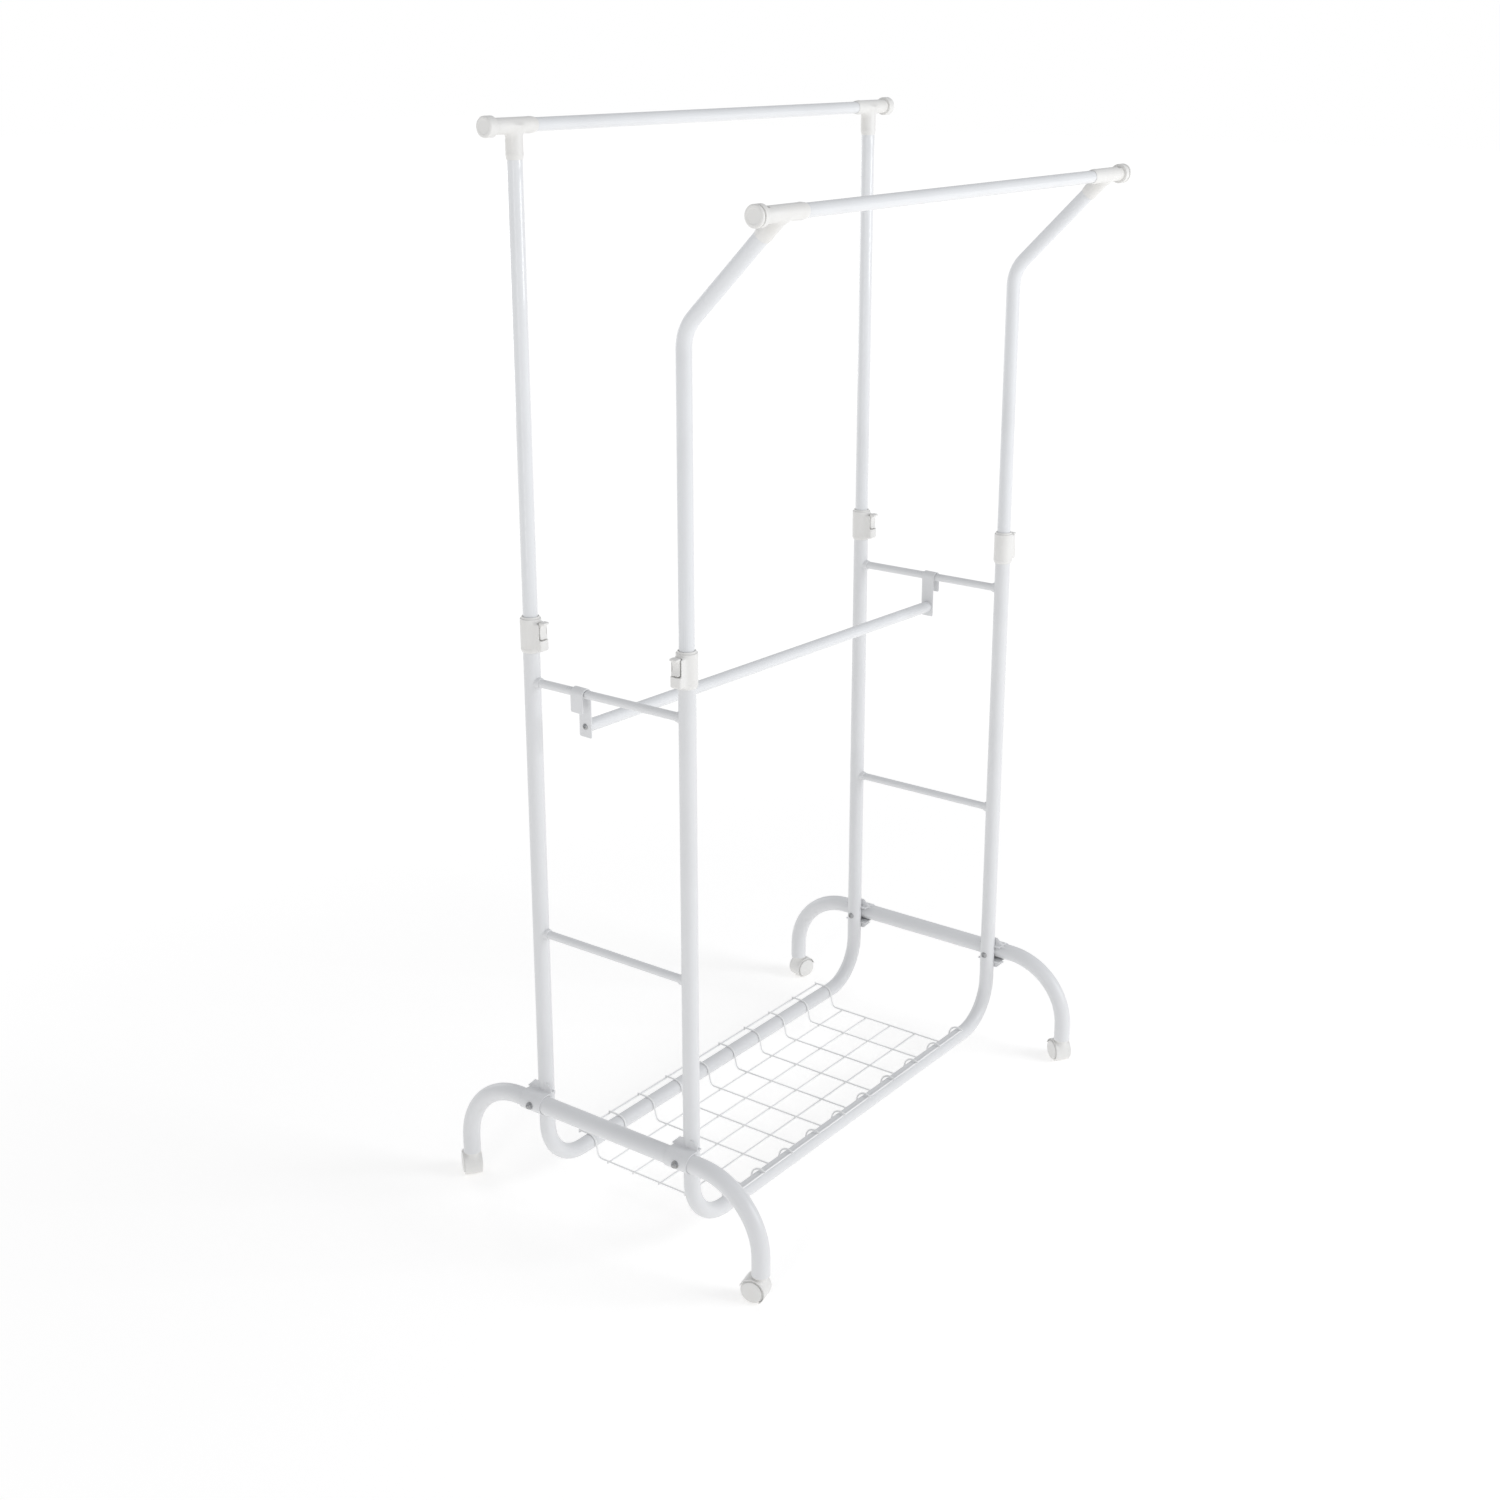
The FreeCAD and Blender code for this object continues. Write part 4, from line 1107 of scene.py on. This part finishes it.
def hood_field(p):
    """Trails along +X from the stem; the axle runs along Y."""
    drum = rod(p, (TRAIL, -HOOD_HALF, WHEEL_R), (0, 1, 0), 2 * HOOD_HALF, HOOD_R, 0.9)
    stations = [(0, 9.2), (17, 8.8), (BOSS_TOP - WHEEL_R, 8.5)]
    boss = turned_rod(p, (0, 0, WHEEL_R), (0, 0, 1), stations, 0.8)
    body = join(drum, boss, 5.0)
    for sign in (-1, 1):
        start = (TRAIL, sign * WEB_HALF, WHEEL_R)
        room = rod(p, start, (0, sign, 0), 3 * HOOD_HALF, HOOD_ROOM_R, 0)
        body = cut(body, room, 0.5)
    body = cut(body, p[2] - HOOD_SKIRT_Z, 0.7)
    mouth_low = (TRAIL + 7, -3 * HOOD_HALF, -HOOD_R)
    mouth = block(p, mouth_low, (4 * HOOD_R, 3 * HOOD_HALF, WHEEL_R + 6), 3.0)
    body = cut(body, mouth, 0.7)
    bore = rod(p, (TRAIL, -5, WHEEL_R), (0, 1, 0), 10, AXLE_BORE_R, 0)
    return cut(body, bore, 0.2)


def wheel_profile():
    """One wheel, from its inner face to the disc that shows: heights along the axle."""
    return [
        (2.1, WHEEL_BORE_R, 0),
        (2.1, WHEEL_R - 0.1, 0.9),
        (8.0, WHEEL_R, 6),
        (12.2, WHEEL_R - 0.1, 0.5),
        (12.2, WHEEL_R - 1.9, 0.2),
        (15.1, WHEEL_R - 2.0, 0.8),
        (15.6, WHEEL_R - 5.0, 2.0),
        (15.8, 0, 0),
        (12.0, 0, 0),
        (12.0, WHEEL_BORE_R, 0),
    ]


def socket_profile():
    """Plastic insert at the leg's end: only its rounded flange shows."""
    plug_r = LEG_R - 1.3
    bottom, plug_top = (corner.z for corner in node_box("caster_sockets"))
    return [
        (bottom, STEM_BORE_R, 0),
        (bottom, LEG_R - 0.2, 0.7),
        (LEG_END_Z, LEG_R, 0.2),
        (LEG_END_Z, plug_r, 0),
        (plug_top, plug_r, 0.6),
        (plug_top, STEM_BORE_R, 0),
    ]


def foot_joint(corner):
    return Vector(RECORD_JOINTS[corner + "_caster_swivel"]["pos_m"]) / MM


def build_casters():
    low = (TRAIL - HOOD_R, -HOOD_HALF, 2)
    high = (TRAIL + HOOD_R, HOOD_HALF, BOSS_TOP)
    hood = skin("caster_hood", low, high, 0.38, hood_field, 0.3)
    wheel = lathe(wheel_profile(), 96, closed=True)
    hub = (TRAIL, 0, WHEEL_R)
    wheels = [placed(wheel, aim(hub, (0, sign, 0))) for sign in (-1, 1)]
    pair = smooth(outward(joined("caster_wheels", wheels)), 40)
    sockets = []
    socket = lathe(socket_profile(), 56, closed=True)
    for corner in CORNERS:
        foot = foot_joint(corner)
        axle = RECORD_JOINTS[corner + "_wheel_roll"]["pos_m"]
        facing = math.atan2(axle[1] / MM - foot.y, axle[0] / MM - foot.x)
        place = move(foot.x, foot.y, 0) @ turn_z(facing)
        sockets.append(placed(socket, move(foot.x, foot.y, 0)))
        for name, mesh, body, node in (
            ("_caster_hood_moulding", hood, "_caster", "_caster_hood"),
            ("_caster_twin_wheels", pair, "_wheel_set", "_caster_wheels"),
        ):
            name, body, node = corner + name, corner + body, corner + node
            add_piece(name, mesh, body, node, CASTER, place)
    mesh = smooth(outward(joined("leg_inserts", sockets)), 40)
    add_piece("leg_inserts", mesh, "base", "caster_sockets", PLASTIC)


# ---- Cross bar hooks and screws ----

HOOK_HALF = 12.0
HOOK_SHEET = 2.0
HOOK_INNER_R = 7.5
FLAP_LENGTH = 27.0
LEG_OVERHANG = 16.0


def bar_heading():
    """The angle of the bar to the X axis, from the places of its two hooks."""
    left = node_centre("left_hook")
    right = node_centre("right_hook")
    return math.atan2(right.y - left.y, right.x - left.x)


def strap_shape(bar_z, crown_z):
    """A rounded strap bent over the rung: flap outside, long leg inside towards +X."""
    middle_r = HOOK_INNER_R + HOOK_SHEET / 2
    flap_z, leg_z = crown_z - FLAP_LENGTH, bar_z - LEG_OVERHANG
    tip, bend_steps = 2.5, 24
    path = [(-middle_r, 0, flap_z), (-middle_r, 0, flap_z + tip)]
    for index in range(bend_steps + 1):
        angle = math.pi * (1 - index / bend_steps)
        path.append((middle_r * math.cos(angle), 0, crown_z + middle_r * math.sin(angle)))
    path += [(middle_r, 0, leg_z + tip), (middle_r, 0, leg_z)]
    half, edge = HOOK_SHEET / 2, 0.7
    corners = [(-half, -HOOK_HALF), (half, -HOOK_HALF), (half, HOOK_HALF), (-half, HOOK_HALF)]
    section = rounded([(a, b, edge) for a, b in corners], 3, closed=True)
    scales = [0.9] + [1.0] * (len(path) - 2) + [0.9]
    return sweep(path, section, (0, 1, 0), scales)


def screw_field(p):
    """Pan head with a cross recess; its seat is at x = 0 and it faces along +X."""
    head = rod(p, (-0.4, 0, 0), (1, 0, 0), 3.0, 4.5, 0.9)
    dome = np.sqrt((p[0] + 4.4) ** 2 + p[1] ** 2 + p[2] ** 2) - 7.0
    head = -join(-head, -dome, 0.3)
    for span in ((2.5, 0.55), (0.55, 2.5)):
        slot = block(p, (1.2, -span[0], -span[1]), (5, span[0], span[1]), 0.1)
        head = cut(head, slot, 0.25)
    return head


def build_cross_bar_ends():
    screw = skin("pan_head", (-0.6, -4.8, -4.8), (2.8, 4.8, 4.8), 0.14, screw_field, 0.4)
    angle = bar_heading()
    bar_z = node_centre("cross_bar_tube").z
    crown_z = node_box("left_hook")[1].z - HOOK_INNER_R - HOOK_SHEET
    places = []
    for side, sign in SIDES.items():
        node = side + "_hook"
        centre = node_centre(node)
        place = move(centre.x, centre.y, 0) @ turn_z(angle)
        if sign > 0:
            place = place @ turn_z(math.pi)
        strap = placed(strap_shape(bar_z, crown_z), place)
        mesh = smooth(outward(joined(side + "_strap", [strap])), 50)
        name = side + "_strap_hook"
        add_piece(name, mesh, "cross_bar", node, PRESSED_COAT)
        places.append(place @ move(HOOK_INNER_R, 0, bar_z) @ turn_z(math.pi))
    group = repeated("pan_screws", screw, places)
    add_piece("pan_screws", group, "cross_bar", "hook_screws", ZINC_PLATE)


# ---- Floor, light and camera ----


FLOOR_HALF = 30.0
FLOOR_LIT_R = 0.9
FLOOR_WHITE_R = 2.6


def stage_material():
    """Pale floor: lit near the object, fading into plain white further out."""
    material = bpy.data.materials.new("studio floor")
    material.use_nodes = True
    tree = material.node_tree
    near = tree.nodes["Principled BSDF"]
    set_inputs(near, {"Base Color": (0.89, 0.88, 0.865, 1), "Roughness": 0.9})
    set_inputs(near, {"Specular IOR Level": 0.1, "Emission Strength": 0.34})
    set_inputs(near, {"Emission Color": (1, 1, 1, 1)})
    far = tree.nodes.new("ShaderNodeEmission")
    set_inputs(far, {"Strength": 1.03})
    place = tree.nodes.new("ShaderNodeTexCoord")
    distance = tree.nodes.new("ShaderNodeVectorMath")
    distance.operation = "LENGTH"
    fade = tree.nodes.new("ShaderNodeMapRange")
    fade.interpolation_type = "SMOOTHSTEP"
    set_inputs(fade, {"From Min": FLOOR_LIT_R, "From Max": FLOOR_WHITE_R})
    mix = tree.nodes.new("ShaderNodeMixShader")
    out = tree.nodes["Material Output"]
    for source, target in (
        (place.outputs["Object"], distance.inputs[0]),
        (distance.outputs["Value"], fade.inputs["Value"]),
        (fade.outputs["Result"], mix.inputs["Fac"]),
        (near.outputs[0], mix.inputs[1]),
        (far.outputs[0], mix.inputs[2]),
        (mix.outputs[0], out.inputs["Surface"]),
    ):
        tree.links.new(source, target)
    return material


def build_floor():
    signs = ((-1, -1), (1, -1), (1, 1), (-1, 1))
    corners = [(a * FLOOR_HALF, b * FLOOR_HALF, 0) for a, b in signs]
    mesh = bpy.data.meshes.new("floor")
    mesh.from_pydata(corners, [], [(0, 1, 2, 3)])
    mesh.materials.append(stage_material())
    in_scene("floor", mesh)


def build_world():
    """White to the camera, dimmer as a light, so the object keeps its shading."""
    world = bpy.data.worlds.new("studio")
    bpy.context.scene.world = world
    world.use_nodes = True
    tree = world.node_tree
    tree.nodes.clear()
    kinds = ("LightPath", "Background", "Background", "MixShader", "OutputWorld")
    path, seen, lighting, mix, out = (tree.nodes.new("ShaderNode" + kind) for kind in kinds)
    set_inputs(seen, {"Color": (1, 1, 1, 1), "Strength": 1.0})
    set_inputs(lighting, {"Color": (0.97, 0.98, 1.0, 1), "Strength": 0.60})
    tree.links.new(path.outputs["Is Camera Ray"], mix.inputs["Fac"])
    tree.links.new(lighting.outputs[0], mix.inputs[1])
    tree.links.new(seen.outputs[0], mix.inputs[2])
    tree.links.new(mix.outputs[0], out.inputs["Surface"])


def add_softbox(name, place, target, size, power, colour):
    data = bpy.data.lights.new(name, "AREA")
    data.shape = "RECTANGLE"
    data.size, data.size_y = size
    data.energy = power
    data.color = colour
    light = in_scene(name, data)
    light.location = place
    light.rotation_mode = "QUATERNION"
    light.rotation_quaternion = (Vector(target) - Vector(place)).to_track_quat("-Z", "Y")


CAMERA_AZIMUTH = math.radians(-53.3)
CAMERA_ELEVATION = math.radians(17.94)
CAMERA_DISTANCE = 3.04
CAMERA_TARGET = Vector((-0.204, -0.086, 0.8326))
CAMERA_LENS = 48.97
CAMERA_SHIFT = -0.04


def build_camera():
    data = bpy.data.cameras.new("camera")
    data.lens = CAMERA_LENS
    data.sensor_width = 36
    data.shift_y = CAMERA_SHIFT
    data.clip_start, data.clip_end = 0.05, 100
    camera = in_scene("camera", data)
    level, rise = math.cos(CAMERA_ELEVATION), math.sin(CAMERA_ELEVATION)
    across, along = math.sin(CAMERA_AZIMUTH), -math.cos(CAMERA_AZIMUTH)
    back = Vector((across * level, along * level, rise))
    camera.location = CAMERA_TARGET + back * CAMERA_DISTANCE
    camera.rotation_mode = "QUATERNION"
    camera.rotation_quaternion = (-back).to_track_quat("-Z", "Y")
    bpy.context.scene.camera = camera


def build_studio():
    build_floor()
    build_world()
    middle = (0, 0, 0.8)
    add_softbox("key", (1.4, -3.7, 1.9), middle, (2.0, 2.2), 60, (0.965, 0.98, 1.0))
    add_softbox("strip", (-3.9, -0.96, 1.3), middle, (0.7, 2.8), 13, (0.98, 0.99, 1.0))
    add_softbox("back", (0.8, 3.8, 1.6), middle, (2.4, 2.2), 18, (0.98, 0.99, 1.0))
    bpy.context.scene.view_settings.view_transform = "Standard"
    build_camera()


paint_frame()
build_tees()
build_caps()
build_locks()
build_crossings()
build_rung_collars()
build_shelf()
build_casters()
build_cross_bar_ends()
build_studio()
